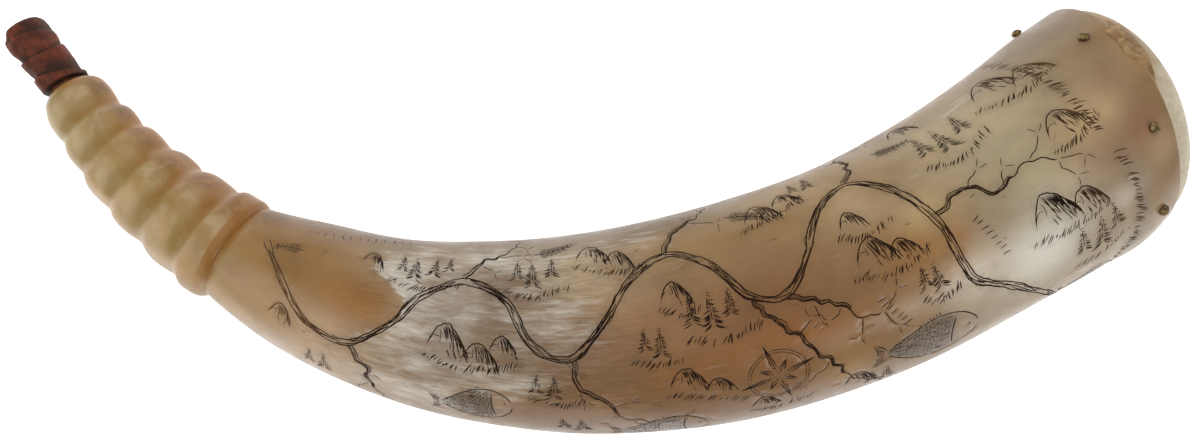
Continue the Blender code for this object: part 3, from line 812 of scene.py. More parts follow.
# along, around, reach along, reach around, colour, strength
TONE_PATCHES = (
    # the flanks and the rim
    (150, 56, 170, 18, UMBER, 0.6), (150, -56, 170, 16, UMBER, 0.5), (0, 0, 13, 90, BROWN, 0.8),
    (14, -40, 18, 14, (120, 98, 70), 0.7),
    # cream and milk near the rim, the whitest partly painted sheen, with pink blushes and an ochre edge by
    # the wax
    (46, -27, 28, 22, SAND, 0.9), (38, -4, 14, 14, (176, 162, 130), 0.8),
    (27, 2, 7, 5, (206, 194, 168), 0.3), (21, -9, 8, 6, (188, 160, 114), 0.85),
    (21, 2, 8, 7, (146, 108, 80), 0.6), (18, 13, 10, 7, (172, 150, 120), 0.8),
    (46, 15, 16, 11, (232, 228, 212), 1.0), (66, 11, 10, 9, (226, 214, 192), 0.9),
    (50, 38, 34, 8, (164, 146, 110), 0.75), (10, -15, 4, 4, PINK, 0.4), (9, -1, 6, 5, PINK, 0.7),
    (10, -15, 3, 3, PINK, 0.3), (7, 2, 2, 2, (150, 88, 62), 0.4), (5, 8, 5, 6, (180, 154, 126), 0.7),
    (20, -11, 8, 6, (196, 166, 124), 0.6), (1.5, -21, 3, 12, OCHRE, 0.85),
    # biscuit above, amber along the middle, umber below
    (106, -37, 26, 13, (176, 148, 104), 0.85), (142, -38, 20, 12, (144, 115, 76), 0.7),
    (115, -22, 46, 12, BISCUIT, 0.85), (75, -2, 15, 10, ORANGE, 0.95),
    (69, -11, 7, 5, (202, 174, 122), 0.75), (117, 0, 26, 17, AMBER, 0.95),
    (151, -2, 16, 12, (158, 110, 68), 0.75), (122, 12, 42, 10, (152, 101, 52), 0.85),
    (116, 21, 9, 6, (138, 92, 48), 0.5), (142, 25, 42, 12, (134, 96, 58), 0.85),
    (101, 22, 9, 8, (174, 136, 84), 0.7), (84, 12, 7, 6, (166, 138, 100), 0.5),
    (84, -22, 10, 8, (198, 172, 134), 0.5), (52, -2, 8, 6, (164, 146, 116), 0.4),
    (142, 39, 50, 11, UMBER, 0.85),
    # pale clouds towards the tip, and dusty patches between them
    (166, 0, 12, 10, (142, 104, 70), 0.7), (172, -23, 18, 14, (188, 168, 138), 0.85),
    (197, -27, 10, 8, (186, 178, 154), 0.8), (196, -11, 9, 11, (118, 98, 76), 0.9),
    (198, 11, 10, 9, (176, 144, 112), 0.7), (213, -8, 12, 20, (222, 208, 186), 0.9),
    (222, 15, 19, 11, (182, 156, 128), 0.85), (184, 26, 14, 9, (126, 92, 60), 0.7),
    (228, -19, 14, 8, (184, 166, 138), 0.85), (164, 20, 6, 6, (170, 132, 94), 0.4),
    (196, 19, 7, 6, (192, 162, 132), 0.4),
    # honey and orange before the neck, linen along the outside of the curve
    (267, -8, 31, 24, HONEY, 1.0), (261, -8, 9, 6, (128, 92, 50), 0.65),
    (236, -4, 13, 8, (156, 108, 52), 1.0), (248, 17, 24, 11, (206, 182, 156), 0.9),
    (247, 8, 9, 5, (208, 180, 148), 0.6), (262, 6, 12, 6, (186, 148, 100), 0.5),
    # on the neck, the brown along the upper side is partly painted shade, and the light band along the
    # lower side partly painted light
    (325, 0, 44, 90, (184, 152, 100), 1.0), (325, -17, 50, 10, (142, 100, 48), 0.9),
    (325, -21, 50, 6, (124, 80, 44), 0.8), (322, 13, 50, 8, (192, 160, 120), 0.7),
    (292, 12, 7, 7, (172, 134, 92), 0.5), (308, -8, 4, 8, (156, 118, 66), 0.5),
    (348, 8, 12, 8, (188, 170, 116), 0.7), (324, 5, 4, 5, (212, 188, 154), 0.4),
    (349, 4, 4, 4, (212, 190, 150), 0.4), (308, -12, 4, 4, (140, 100, 56), 0.4),
    (308, 12, 4, 4, (150, 112, 70), 0.4), (333, 1, 4, 14, (160, 124, 76), 0.3),
    (344, -3, 13, 4, (150, 126, 72), 0.45), (314, -4, 15, 4, (142, 116, 64), 0.45),
    (304, 7, 20, 5, (198, 166, 124), 0.5),
    # a smear of ink and a haze by the rim, and small yellow stains
    (20, 27, 8, 9, (198, 186, 164), 0.6), (18, 33, 3, 4.5, SLATE, 0.8),
    (15, 20, 2.5, 12, (138, 128, 116), 0.5), (160, -21, 1.6, 1.2, ORANGE, 0.7),
    (157, -17, 1, 1.4, ORANGE, 0.5), (135, -20, 2, 0.8, UMBER, 0.5),
    (63, -1, 2, 2.2, (166, 108, 48), 0.7), (65, 3, 1.2, 1.6, (166, 108, 48), 0.5))
# painted shade on the flanks and the underside, and more on the flank on the outside of the curve
PAINTED_FLANK_SHADE = (0.66, 0.6, 0.52)         # what is left of each colour on the flanks and the underside
PAINTED_UPPER_SHADE = 0.22          # how much darker the flank on the outside of the curve is, but not near the rim
RUBBED = 0.8                # how strongly ink is rubbed into the fish
# along, around, reach along and reach around of the honey-coloured part, where nothing pale shows
HONEY_PARTS = ((283, -20, 47, 31), (241, -5, 18, 10))
# along, around, reach along, reach around, strength of pale streaks and of grey-brown smudges
STREAK_PATCHES = (
    (223, -13, 17, 13, 0.7, 0.0), (212, -11, 13, 9, 0.35, 0.0), (198, -6, 9, 9, -0.75, 0.4),
    (236, 14, 20, 10, 0.2, 0.2), (198, -20, 34, 24, 0.6, 0.65), (208, 0, 17, 15, 0.7, 0.85),
    (222, 20, 26, 12, 0.4, 0.35), (182, 2, 18, 14, 0.3, 0.9), (50, 0, 26, 40, 0.2, 0.1),
    (150, -30, 30, 12, 0.25, 0.2), (160, 14, 20, 14, 0.15, 0.55), (32, 26, 14, 14, 0.15, 0.25),
    (110, 10, 60, 30, 0.08, 0.12))


def spot(along, around, patch):
    """How strongly a soft patch covers each point."""
    return np.exp(-((along - patch[0]) / patch[2]) ** 2 - ((around - patch[1]) / patch[3]) ** 2)


def carry(piece, name, values):
    """Store a share from 0 to 1 on each point of a piece, for its material."""
    layer = piece.data.attributes.new(name, "FLOAT", "POINT")
    layer.data.foreach_set("value", np.clip(values, 0, 1).astype(np.float32))


def point_count(piece):
    """How many points a piece's mesh has."""
    return len(piece.data.vertices)


where = np.zeros(3 * point_count(horn), np.float32)
horn.data.attributes["place_on_horn"].data.foreach_get("vector", where)
where = where.reshape(-1, 3)
along, radius = where[:, 0], np.hypot(where[:, 1], where[:, 2])
around = (np.mod(np.arctan2(where[:, 2], where[:, 1]) + math.pi / 2, 2 * math.pi) - math.pi) * radius
tone = np.tile(seen(*TAN), (len(where), 1))
for patch in TONE_PATCHES:
    tone += (spot(along, around, patch) * patch[5])[:, None] * (seen(*patch[4]) - tone)
for centre, length, turn in FISHES:
    ahead, out = along - centre[0], around - centre[1]
    share = (ahead * math.cos(turn) + out * math.sin(turn)) / (FISH_BODY * length) + 0.5
    across = out * math.cos(turn) - ahead * math.sin(turn)
    rubbed = np.clip(1.3 - (across / np.maximum(plumpness(share, length), 0.1)) ** 4, 0, 1)
    rubbed *= fade(share, 0.2, 0.34) * fade(share, 1.0, 0.97)
    tone += (RUBBED * rubbed)[:, None] * (seen(*FISH_SLATE) - tone)
# Painted shade: the flanks are darkened as they turn down, and the flank on the outside of the curve more.
height_share = where[:, 2] / np.maximum(radius, 0.1)
tone *= 1 - fade(height_share, 0.72, 0.1)[:, None] * (1 - np.array(PAINTED_FLANK_SHADE))
on_upper_flank = fade(-around / np.maximum(radius, 0.1), 0.7, 1.3) * fade(along, 95, 125)
tone *= 1 - PAINTED_UPPER_SHADE * on_upper_flank[:, None]
pale = sum(spot(along, around, patch) * patch[4] for patch in STREAK_PATCHES)
smudge = sum(spot(along, around, patch) * patch[5] for patch in STREAK_PATCHES)
honey = np.max([1.5 - ((along - u) / long) ** 2 - ((around - v) / wide) ** 2
                for u, v, long, wide in HONEY_PARTS], 0)
neck = fade(along, body_end - 6, body_end + 2)
crests = [(NECK_START, NECK_RINGS[0][1])] + bead_crests
below_crest = BASE_RADIUS * smooth_through(crests, along / HORN_LENGTH) - radius
# The valleys of the neck are laid darker, more so on the upper side: partly their own brown, partly painted
# shade.
in_groove = np.clip(below_crest / 1.2, 0, 1) ** 1.4 * fade(along, body_end - 1.5, body_end)
upper = np.clip(0.45 - around / 26, 0, 1)
beside_collar = fade(along, body_end - 1.4, body_end - 0.3) * fade(along, body_end + 4.2, body_end + 2.8)
# Amber is the horn's own colour beside the collar; in the valleys on the upper side and on the upper bead
# ends it is partly painted shade.
amber_and_shade = 0.8 * in_groove * (0.05 + 0.95 * upper) + 1.2 * beside_collar * np.clip(0.7 - around / 34, 0.2, 1)
amber_and_shade += neck * 0.6 * np.clip(-around / 12 - 0.55, 0, 1)
olive = neck * (0.16 + 0.9 * np.clip(below_crest / 1.1, 0, 1) * np.exp(-((around - 1) / 8) ** 2))
fibrous = np.clip(0.1 + pale + smudge, 0, 1) * (1 - 0.85 * neck) * (0.2 + 0.8 * fade(along, 60, 150))
tone_layer = horn.data.attributes.new("tone", "FLOAT_COLOR", "POINT")
tone_layer.data.foreach_set("color", np.column_stack([tone, np.ones(len(tone))]).astype(np.float32).ravel())
for name, values in (("pale", pale), ("smudge", smudge), ("honey", honey), ("neck", neck),
                     ("in_groove", in_groove * np.clip(0.8 - around / 18, 0.15, 1)),
                     ("amber_and_shade", amber_and_shade), ("olive", olive), ("fibrous", fibrous)):
    carry(horn, name, values)
print("Tones set by", len(TONE_PATCHES), "patches")

# %% Ink rubbed into the fine scratches round the strokes
STAIN_CELL, STAIN_FULL, STAIN_REACH = 0.8, 2.2, 60
cells_along, cells_around = int(body_end / STAIN_CELL) + 2, int(2 * STAIN_REACH / STAIN_CELL)
stain_ranges = ((0, cells_along * STAIN_CELL), (-STAIN_REACH, -STAIN_REACH + cells_around * STAIN_CELL))
counts, _, _ = np.histogram2d(inked[:, 0], inked[:, 1], (cells_along, cells_around), stain_ranges)
bell = np.hanning(7) / np.hanning(7).sum()
for axis in (0, 1):
    counts = np.apply_along_axis(np.convolve, axis, counts, bell, "same")
row = np.clip((along / STAIN_CELL).astype(int), 0, cells_along - 1)
column = ((around + STAIN_REACH) / STAIN_CELL).astype(int)
stain = counts[row, np.clip(column, 0, cells_around - 1)] / STAIN_FULL
stain[(column < 0) | (column >= cells_around) | (along > body_end)] = 0
carry(horn, "stain", stain)
print("Stained points:", int((stain > 0.2).sum()))

# %% [markdown]
# The ink is what makes the engraving show. It was rubbed in and wiped off, so it fills each groove
# almost to the surface. It is a piece of its own: a sliver with a flat top and a keel for every stroke,
# from the same lines as the grooves.

# %% Ink in the grooves
INK_SINK, INK_KEEL = 0.02, 0.03
ink_places, ink_faces, ink_dark = [], [], []          # places are along, around and depth
first = 0
for points, halves, dark, left in grooves:
    if not dark:
        continue
    width = halves[inner, None] * (1 - INK_SINK / GROOVE_DEPTH)
    n = len(points) - 2
    for side in (-1, 1):
        edge = points[inner] + side * left[inner] * width
        ink_places.append(np.column_stack([edge, np.full(n, INK_SINK)]))
    ink_places.append(np.column_stack([points[inner], np.full(n, GROOVE_DEPTH + INK_KEEL)]))
    ink_places.append(np.column_stack([points[[0, -1]], np.full(2, INK_SINK)]))
    a, b, keel, start, stop = first, first + n, first + 2 * n, first + 3 * n, first + 3 * n + 1
    for k in range(n - 1):
        ink_faces += [(a + k, a + k + 1, b + k + 1, b + k), (b + k, b + k + 1, keel + k + 1, keel + k),
                      (keel + k, keel + k + 1, a + k + 1, a + k)]
    for tip, k in ((start, 0), (stop, n - 1)):
        cap = [(tip, a + k, b + k), (tip, b + k, keel + k), (tip, keel + k, a + k)]
        ink_faces += cap if tip == start else [face[::-1] for face in cap]
    ink_dark.append(np.full(3 * n + 2, dark))
    first += 3 * n + 2
ink_along, ink_around, ink_depth = np.vstack(ink_places).T
ink_points = on_horn(ink_along / HORN_LENGTH, angle_of(ink_along, ink_around), ink_depth)
ink = new_piece("engraving_ink", ink_points, ink_faces)
left_by_hands = 0.4 + 0.6 * fade(ink_along, 14, 40) * fade(ink_along, 262, 212)     # worn off at both ends
carry(ink, "dark", np.concatenate(ink_dark) * left_by_hands)
tend(ink, turn_out)
print("Ink:", len(ink_dark), "strokes,", len(ink.data.polygons), "faces")

# %% [markdown]
# A finish here is a material made of nodes, so nothing is read from a picture. Small helpers keep the
# cells short. One adds a node with its settings and inputs, and the others each stand for a few nodes
# that every finish needs.

# %% Helpers for finishes
def add(tree, kind, inputs=None, **settings):
    """Add a shader node; an input is a value or another node's output."""
    node = tree.nodes.new("ShaderNode" + kind)
    for name, value in settings.items():
        setattr(node, name, value)
    for key, value in (inputs or {}).items():
        if isinstance(value, bpy.types.NodeSocket):
            tree.links.new(value, node.inputs[key])
        else:
            node.inputs[key].default_value = value
    return node


def finish(name, **values):
    """A new material with its tree and its shader, and the shader's even values set."""
    material = bpy.data.materials.new(name)
    material.use_nodes = True
    shader = material.node_tree.nodes["Principled BSDF"]
    for key, value in values.items():
        shader.inputs[key.replace("_", " ")].default_value = value
    return material, material.node_tree, shader


def rgba(colour):
    """Four numbers from a linear colour."""
    return (*(float(part) for part in colour), 1)


def noise(tree, vector, scale, detail=3.0, roughness=0.5, distortion=0.0):
    """A noise value from a place."""
    return add(tree, "TexNoise", {"Vector": vector, "Scale": scale, "Detail": detail,
                                  "Roughness": roughness, "Distortion": distortion}).outputs["Fac"]


def stretched(tree, vector, scale, offset=(0, 0, 0)):
    """A place scaled on each axis, and moved so that two patterns differ."""
    return add(tree, "Mapping", {"Vector": vector, "Scale": scale, "Location": offset}).outputs["Vector"]


def remap(tree, value, low, high, to_low=0.0, to_high=1.0):
    """A value taken smoothly from one range to another, and held at its ends."""
    return add(tree, "MapRange", {"Value": value, "From Min": low, "From Max": high, "To Min": to_low,
                                  "To Max": to_high}, interpolation_type="SMOOTHSTEP").outputs["Result"]


def maths(tree, operation, first, second):
    """One sum on two values."""
    return add(tree, "Math", {0: first, 1: second}, operation=operation).outputs["Value"]


def blend(tree, share, first, second, how="MIX"):
    """Two colours mixed by a share."""
    pair = [part if isinstance(part, bpy.types.NodeSocket) else rgba(part) for part in (first, second)]
    return add(tree, "Mix", {0: share, 6: pair[0], 7: pair[1]}, data_type="RGBA", blend_type=how,
               clamp_factor=True).outputs[2]


def lay(tree, under, value, low, high, strength, over, how="MIX"):
    """A colour laid over another, more and more as a value goes from low to high."""
    return blend(tree, remap(tree, value, low, high, 0.0, strength), under, over, how)


def spread(tree, base, pattern, strength):
    """A value broken up by a pattern about its middle."""
    swing = maths(tree, "MULTIPLY", maths(tree, "SUBTRACT", pattern, 0.5), strength)
    return maths(tree, "ADD", base, swing)


def roughen(tree, shader, strength, distance, height):
    """Small bumps by a height."""
    bumps = add(tree, "Bump", {"Strength": strength, "Distance": distance, "Height": height})
    tree.links.new(bumps.outputs["Normal"], shader.inputs["Normal"])


def dress(piece, material, colour):
    """Give a material its colour, and a piece the material."""
    tree = material.node_tree
    tree.links.new(colour, tree.nodes["Principled BSDF"].inputs["Base Color"])
    piece.data.materials.append(material)


def carried(tree, name, kind="Fac"):
    """A value that the mesh carries on its points."""
    return add(tree, "Attribute", attribute_name=name).outputs[kind]


print("Helpers for finishes are ready")

# %% [markdown]
# Horn is keratin in layers, with fibres along its length, scraped and polished to a soft gloss. Light
# goes a little way in, so it looks warm rather than painted. Every streak below is noise stretched along
# the horn's own length, which is why the mesh carries its place along and round the horn.

# %% Finish of the horn
horn_finish, tree, shader = finish("polished_horn", Subsurface_Weight=0.12, Subsurface_Scale=0.0015,
                                   Subsurface_Radius=(1.0, 0.75, 0.45), IOR=1.45, Specular_IOR_Level=0.4)
place_here = carried(tree, "place_on_horn", "Vector")
tone_here = carried(tree, "tone", "Color")
on_neck = carried(tree, "neck")
fibres = noise(tree, stretched(tree, place_here, (0.05, 1, 1)), 2.6, 4, 0.6)
streaks = noise(tree, stretched(tree, place_here, (0.13, 1, 1), (40, 7, 3)), 0.75, 6, 0.6, 0.3)
wisps = noise(tree, stretched(tree, place_here, (0.2, 1, 1), (9, 30, 12)), 0.35, 5, 0.6, 0.5)
clouds = noise(tree, stretched(tree, place_here, (0.6, 1, 1), (3, 60, 20)), 0.09, 4, 0.55, 0.4)
mottles = noise(tree, place_here, 0.15, 2, 0.5, 0.5)
broad = noise(tree, stretched(tree, place_here, (0.6, 1, 1), (50, 5, 70)), 0.06, 3, 0.5, 0.5)
specks = noise(tree, place_here, 1.3, 2, 0.5)
blotches = noise(tree, place_here, 0.55, 3, 0.6)
askew = add(tree, "Mapping", {"Vector": place_here, "Rotation": (0, 0.03, 0.05), "Scale": (0.02, 1, 1)})
hairlines = noise(tree, askew.outputs["Vector"], 4.5, 1, 0.4)
colour = lay(tree, tone_here, clouds, 0.45, 0.75, 0.6, (1.26, 1.22, 1.17), "MULTIPLY")
colour = lay(tree, colour, clouds, 0.5, 0.25, 0.6, (0.78, 0.72, 0.64), "MULTIPLY")
pale_here = spread(tree, spread(tree, carried(tree, "pale"), streaks, 1.25), broad, 1.6)
not_honey = remap(tree, spread(tree, carried(tree, "honey"), wisps, 1.3), 0.35, 0.6, 1.0, 0.0)
pale_share = maths(tree, "MULTIPLY", remap(tree, pale_here, 0.33, 1.05, 0.0, 0.9), not_honey)
colour = blend(tree, pale_share, colour, seen(220, 213, 199))
smudge_here = spread(tree, spread(tree, carried(tree, "smudge"), wisps, 1.9), broad, -1.2)
colour = lay(tree, colour, smudge_here, 0.45, 1.2, 0.6, seen(132, 104, 76))
cloudy = maths(tree, "MULTIPLY", on_neck, remap(tree, mottles, 0.42, 0.74, 0.0, 0.6))
colour = blend(tree, cloudy, colour, seen(208, 186, 146))
olive_here = spread(tree, carried(tree, "olive"), mottles, 0.7)
colour = lay(tree, colour, olive_here, 0.1, 0.8, 0.9, seen(152, 126, 66))
# The neck's valleys and the upper ends of its beads are darker and browner: partly their own colour, partly
# painted shade.
colour = lay(tree, colour, carried(tree, "in_groove"), 0.05, 0.8, 0.6, seen(158, 122, 62))
amber_and_shade_here = spread(tree, spread(tree, carried(tree, "amber_and_shade"), mottles, 0.8), blotches, 0.35)
colour = lay(tree, colour, amber_and_shade_here, 0.1, 0.8, 0.8, seen(152, 100, 36))
darkening_here = spread(tree, carried(tree, "stain"), fibres, 0.5)
colour = lay(tree, colour, darkening_here, 0.1, 1.0, 0.16, seen(104, 78, 52))
rough_fibres = maths(tree, "MULTIPLY", carried(tree, "fibrous"), remap(tree, fibres, 0.35, 0.7, 0.0, 0.3))
colour = blend(tree, rough_fibres, colour, seen(128, 98, 66), "MULTIPLY")
colour = lay(tree, colour, specks, 0.68, 0.76, 0.35, seen(120, 84, 54))
colour = lay(tree, colour, hairlines, 0.70, 0.78, 0.08, seen(214, 204, 184))
dress(horn, horn_finish, colour)
uneven = remap(tree, mottles, 0.3, 0.7, 0.27, 0.38)
gloss = maths(tree, "ADD", uneven, maths(tree, "MULTIPLY", on_neck, 0.03))
tree.links.new(gloss, shader.inputs["Roughness"])
roughen(tree, shader, 0.06, 0.0001, maths(tree, "ADD", fibres, mottles))
print("Nodes in the horn's finish:", len(tree.nodes))

# %% Finish of the ink
ink_finish, tree, shader = finish("rubbed_ink", Roughness=0.7, IOR=1.4, Specular_IOR_Level=0.12)
drift = noise(tree, add(tree, "TexCoord").outputs["Object"], 55, 3)
colour = blend(tree, remap(tree, drift, 0.35, 0.65), seen(24, 15, 10), seen(46, 28, 16))
faint = remap(tree, carried(tree, "dark"), 0.0, 1.0, 0.75, 0.0)
colour = blend(tree, faint, colour, seen(120, 90, 62))
dress(ink, ink_finish, colour)
print("Nodes in the ink's finish:", len(tree.nodes))

# %% Shade the horn and the ink, and set them on the part
def smooth(piece, degrees):
    """Smooth shading with edges kept where faces meet at more than an angle."""
    bpy.ops.object.select_all(action="DESELECT")
    piece.select_set(True)
    bpy.context.view_layer.objects.active = piece
    bpy.ops.object.shade_smooth_by_angle(angle=math.radians(degrees))


def set_on(piece, slot, *nodes):
    """Let a piece ride on the part's one body and stand for some CAD nodes, which are hidden. The slot is
    not used.
    """
    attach(piece, "root")
    if nodes:
        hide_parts(*nodes)


smooth(horn, 28)
smooth(ink, 60)
set_on(horn, "horn", "horn_body")
set_on(ink, "horn")
print("The horn and its ink are set on the part")

# %% [markdown]
# The plug and the stopper were turned and whittled from wood. Each starts as a disc that is extruded and
# resized ring by ring, as on a lathe, and is then worked by hand: rings are tipped and flats are pared.

# %% A turned body, ring by ring
def turned(name, profile, sides):
    """A disc extruded up its own Z through rows of height and radius in millimetres."""
    bpy.ops.object.select_all(action="DESELECT")
    (height, radius), *rows = profile
    bpy.ops.mesh.primitive_circle_add(vertices=sides, radius=radius * MM, fill_type="NGON",
                                      location=(0, 0, height * MM))
    piece = bpy.context.object
    piece.name = piece.data.name = name
    bpy.ops.object.mode_set(mode="EDIT")
    for next_height, next_radius in rows:
        rise, grown = next_height - height, next_radius / radius
        bpy.ops.mesh.extrude_region_move(TRANSFORM_OT_translate={"value": (0, 0, rise * MM)})
        bpy.ops.transform.resize(value=(grown, grown, 1), center_override=(0, 0, next_height * MM))
        height, radius = next_height, next_radius
    bpy.ops.mesh.select_all(action="SELECT")
    bpy.ops.mesh.normals_make_consistent(inside=False)
    bpy.ops.object.mode_set(mode="OBJECT")
    bpy.ops.object.transform_apply(location=True, rotation=True, scale=True)
    return piece


def points_of(piece):
    """A piece's points in millimetres."""
    points = np.zeros(3 * point_count(piece), np.float32)
    piece.data.vertices.foreach_get("co", points)
    return points.reshape(-1, 3).astype(float) / MM


def move_points(piece, points):
    """Put a piece's points somewhere else, in millimetres."""
    piece.data.vertices.foreach_set("co", (points * MM).astype(np.float32).ravel())
    piece.data.update()


def stand_at(piece, centre, axis):
    """Turn a piece's Z to an axis and move its origin to a centre in millimetres, in its mesh."""
    turn = Vector(axis).to_track_quat("Z", "Y").to_matrix().to_4x4()
    piece.data.transform(Matrix.Translation(Vector(centre) * MM) @ turn)


def crumble(piece, name, size, strength, depth=2):
    """Push a piece's surface in and out by soft noise, with its size and strength in metres."""
    pattern = bpy.data.textures.new(name, "CLOUDS")
    pattern.noise_scale, pattern.noise_depth = size, depth
    push = piece.modifiers.new(name, "DISPLACE")
    push.texture, push.strength, push.mid_level = pattern, strength, 0.5
    bpy.context.view_layer.objects.active = piece
    bpy.ops.object.modifier_apply(modifier=push.name)


print("The lathe is ready")

# %% The base plug: a straight spigot inside the rim and a domed head outside it
PLUG_DEPTH, PLUG_DOME, PLUG_SETBACK, FIT_GAP = 14.0, 14.0, 1.5, 0.3
PLUG_SIDES, DOME_ROWS = 96, 12
DOME_TOP = 1.5              # radius of the flat on top of the dome
DOME_WEAR = 0.25            # how far the dome is worn uneven
rim_centre, rim_turn = section(0.0)
rim_centre = rim_centre + shift
rim_out = np.array([math.cos(rim_turn), math.sin(rim_turn), 0])
rim_side = np.array([-math.sin(rim_turn), math.cos(rim_turn), 0])
plug_edge = BASE_RADIUS - PLUG_SETBACK
spigot_radius = BASE_RADIUS - RIM_WALL - FIT_GAP
plug_profile = [(0, spigot_radius - 0.4), (0.3, spigot_radius), (PLUG_DEPTH, spigot_radius),
                (PLUG_DEPTH + FIT_GAP, spigot_radius), (PLUG_DEPTH + FIT_GAP, plug_edge)]
for k in range(1, DOME_ROWS):
    rise = math.pi / 2 * k / DOME_ROWS
    plug_profile.append((PLUG_DEPTH + FIT_GAP + PLUG_DOME * math.sin(rise), plug_edge * math.cos(rise)))
plug_profile.append((PLUG_DEPTH + FIT_GAP + PLUG_DOME, DOME_TOP))
plug = turned("domed_plug", plug_profile, PLUG_SIDES)
points = points_of(plug)
share = np.clip((PLUG_DEPTH - points[:, 2]) / HORN_LENGTH, 0, 1)
inside = points[:, 2] <= PLUG_DEPTH + 0.01
centre, turn = section(share)
side = np.stack([-np.sin(turn), np.cos(turn), np.zeros(len(turn))], 1)
along_rim = np.where(inside[:, None], centre + shift, rim_centre + (points[:, 2:3] - PLUG_DEPTH) * rim_out)
side = np.where(inside[:, None], side, rim_side)
worn = DOME_WEAR * np.sin(0.09 * points[:, 0] + 0.4) * np.cos(0.11 * points[:, 1])
worn = worn * (points[:, 2] > PLUG_DEPTH + 1)
points = along_rim + points[:, :1] * side + points[:, 1:2] * [0, 0, 1] - worn[:, None] * rim_out
move_points(plug, points)
tend(plug, turn_out)
smooth(plug, 35)
print("Plug:", point_count(plug), "points")

# %% Finish of the plug: pale turned wood, greyed, with ochre near the wax
plug_finish, tree, shader = finish("pale_turned_wood", Roughness=0.55)
here = add(tree, "TexCoord").outputs["Object"]
grain = noise(tree, stretched(tree, here, (300, 500, 500)), 1.0, 5, 0.6, 0.3)
ring_noise = noise(tree, stretched(tree, here, (30, 160, 160)), 1.0, 3)
colour = blend(tree, remap(tree, grain, 0.3, 0.72), seen(220, 207, 182), seen(202, 187, 158))
colour = lay(tree, colour, ring_noise, 0.4, 0.7, 0.4, seen(202, 180, 142))
upper = add(tree, "SeparateXYZ", {"Vector": here}).outputs["Y"]
by_wax = maths(tree, "ADD", upper, maths(tree, "MULTIPLY", ring_noise, 0.02))
colour = lay(tree, colour, by_wax, 0.038, 0.062, 0.95, seen(166, 138, 98))
roughen(tree, shader, 0.1, 0.0001, grain)
dress(plug, plug_finish, colour)
set_on(plug, "pale_wood", "base_plug")
print("The plug is finished")

# %% [markdown]
# Wax was run into the seam between horn and plug to keep the powder dry. It is a flat crust over one
# stretch of the rim and worn to a thread elsewhere. A torus round the seam is pressed onto the rim and
# the dome, and widened by place.

# %% Wax in the seam
# where the crust is wide, from the curve's inside
WAX_FROM, WAX_TO = math.radians(34), math.radians(70)
WAX_THREAD, WAX_HALF, WAX_THICK = 0.4, 3.6, 0.75
WAX_SEGMENTS, WAX_SIDES, WAX_LUMPS = 360, 20, 240
SEAM_SETBACK = 1.6
seam_radius = BASE_RADIUS - SEAM_SETBACK
bpy.ops.object.select_all(action="DESELECT")
bpy.ops.mesh.primitive_torus_add(major_segments=WAX_SEGMENTS, minor_segments=WAX_SIDES,
                                 major_radius=seam_radius * MM, minor_radius=WAX_THREAD * MM)
wax = bpy.context.object
wax.name = wax.data.name = "wax_seal"
points = points_of(wax)
angle = np.arctan2(points[:, 1], points[:, 0])
swell = fade(angle, WAX_FROM - 0.14, WAX_FROM + 0.34) * fade(angle, WAX_TO + 0.24, WAX_TO - 0.22)
lumps = [chance.uniform(-1, 1) for _ in range(WAX_LUMPS)]
lump_angles = np.linspace(0, 2 * math.pi, WAX_LUMPS)
outer_edge, inner_edge = (np.interp(np.mod(angle + turned_by, 2 * math.pi), lump_angles, lumps)
                          for turned_by in (0, 2.5))
across_seam = points[:, 2] / WAX_THREAD
off_seam = (np.hypot(points[:, 0], points[:, 1]) - seam_radius) / WAX_THREAD
edge_noise = np.where(across_seam > 0, outer_edge, inner_edge)
half_width = WAX_THREAD * (1 + 0.25 * outer_edge) + swell * (WAX_HALF - WAX_THREAD + 0.9 * edge_noise)
height = 0.15 + 0.9 * swell + across_seam * half_width
on_dome = plug_edge * np.sqrt(1 - np.clip(height / PLUG_DOME, 0, 0.9) ** 2)
on_rim = np.clip(BASE_RADIUS - RIM_ROUND + np.maximum(-height, 0), 0, BASE_RADIUS)
under = np.where(height > 0, on_dome, on_rim)
thickness = WAX_THREAD + swell * (WAX_THICK - WAX_THREAD)
radius = seam_radius + (under - seam_radius) * swell + off_seam * thickness
move_points(wax, np.stack([radius * np.cos(angle), radius * np.sin(angle), height], 1))
crumble(wax, "wax_crust", 0.0011, 0.0003, 3)
points = points_of(wax)
points = points[:, :1] * rim_side + points[:, 1:2] * [0, 0, 1] + points[:, 2:3] * rim_out
move_points(wax, rim_centre + points)
tend(wax, turn_out)
smooth(wax, 50)
wax_finish, tree, shader = finish("old_wax", Roughness=0.6, Subsurface_Weight=0.2, Subsurface_Scale=0.001)
here = add(tree, "TexCoord").outputs["Object"]
mottle = noise(tree, here, 420, 4, 0.6)
colour = blend(tree, remap(tree, mottle, 0.35, 0.68), seen(136, 100, 54), seen(176, 144, 96))
dress(wax, wax_finish, colour)
set_on(wax, "pale_wood")
print("Wax:", point_count(wax), "points")

# %% [markdown]
# Seven brass pins hold the plug. They are cut from rod and driven by hand, so each head is a little
# off round and sits a little askew. One is modelled, and each copy gets its own mesh.

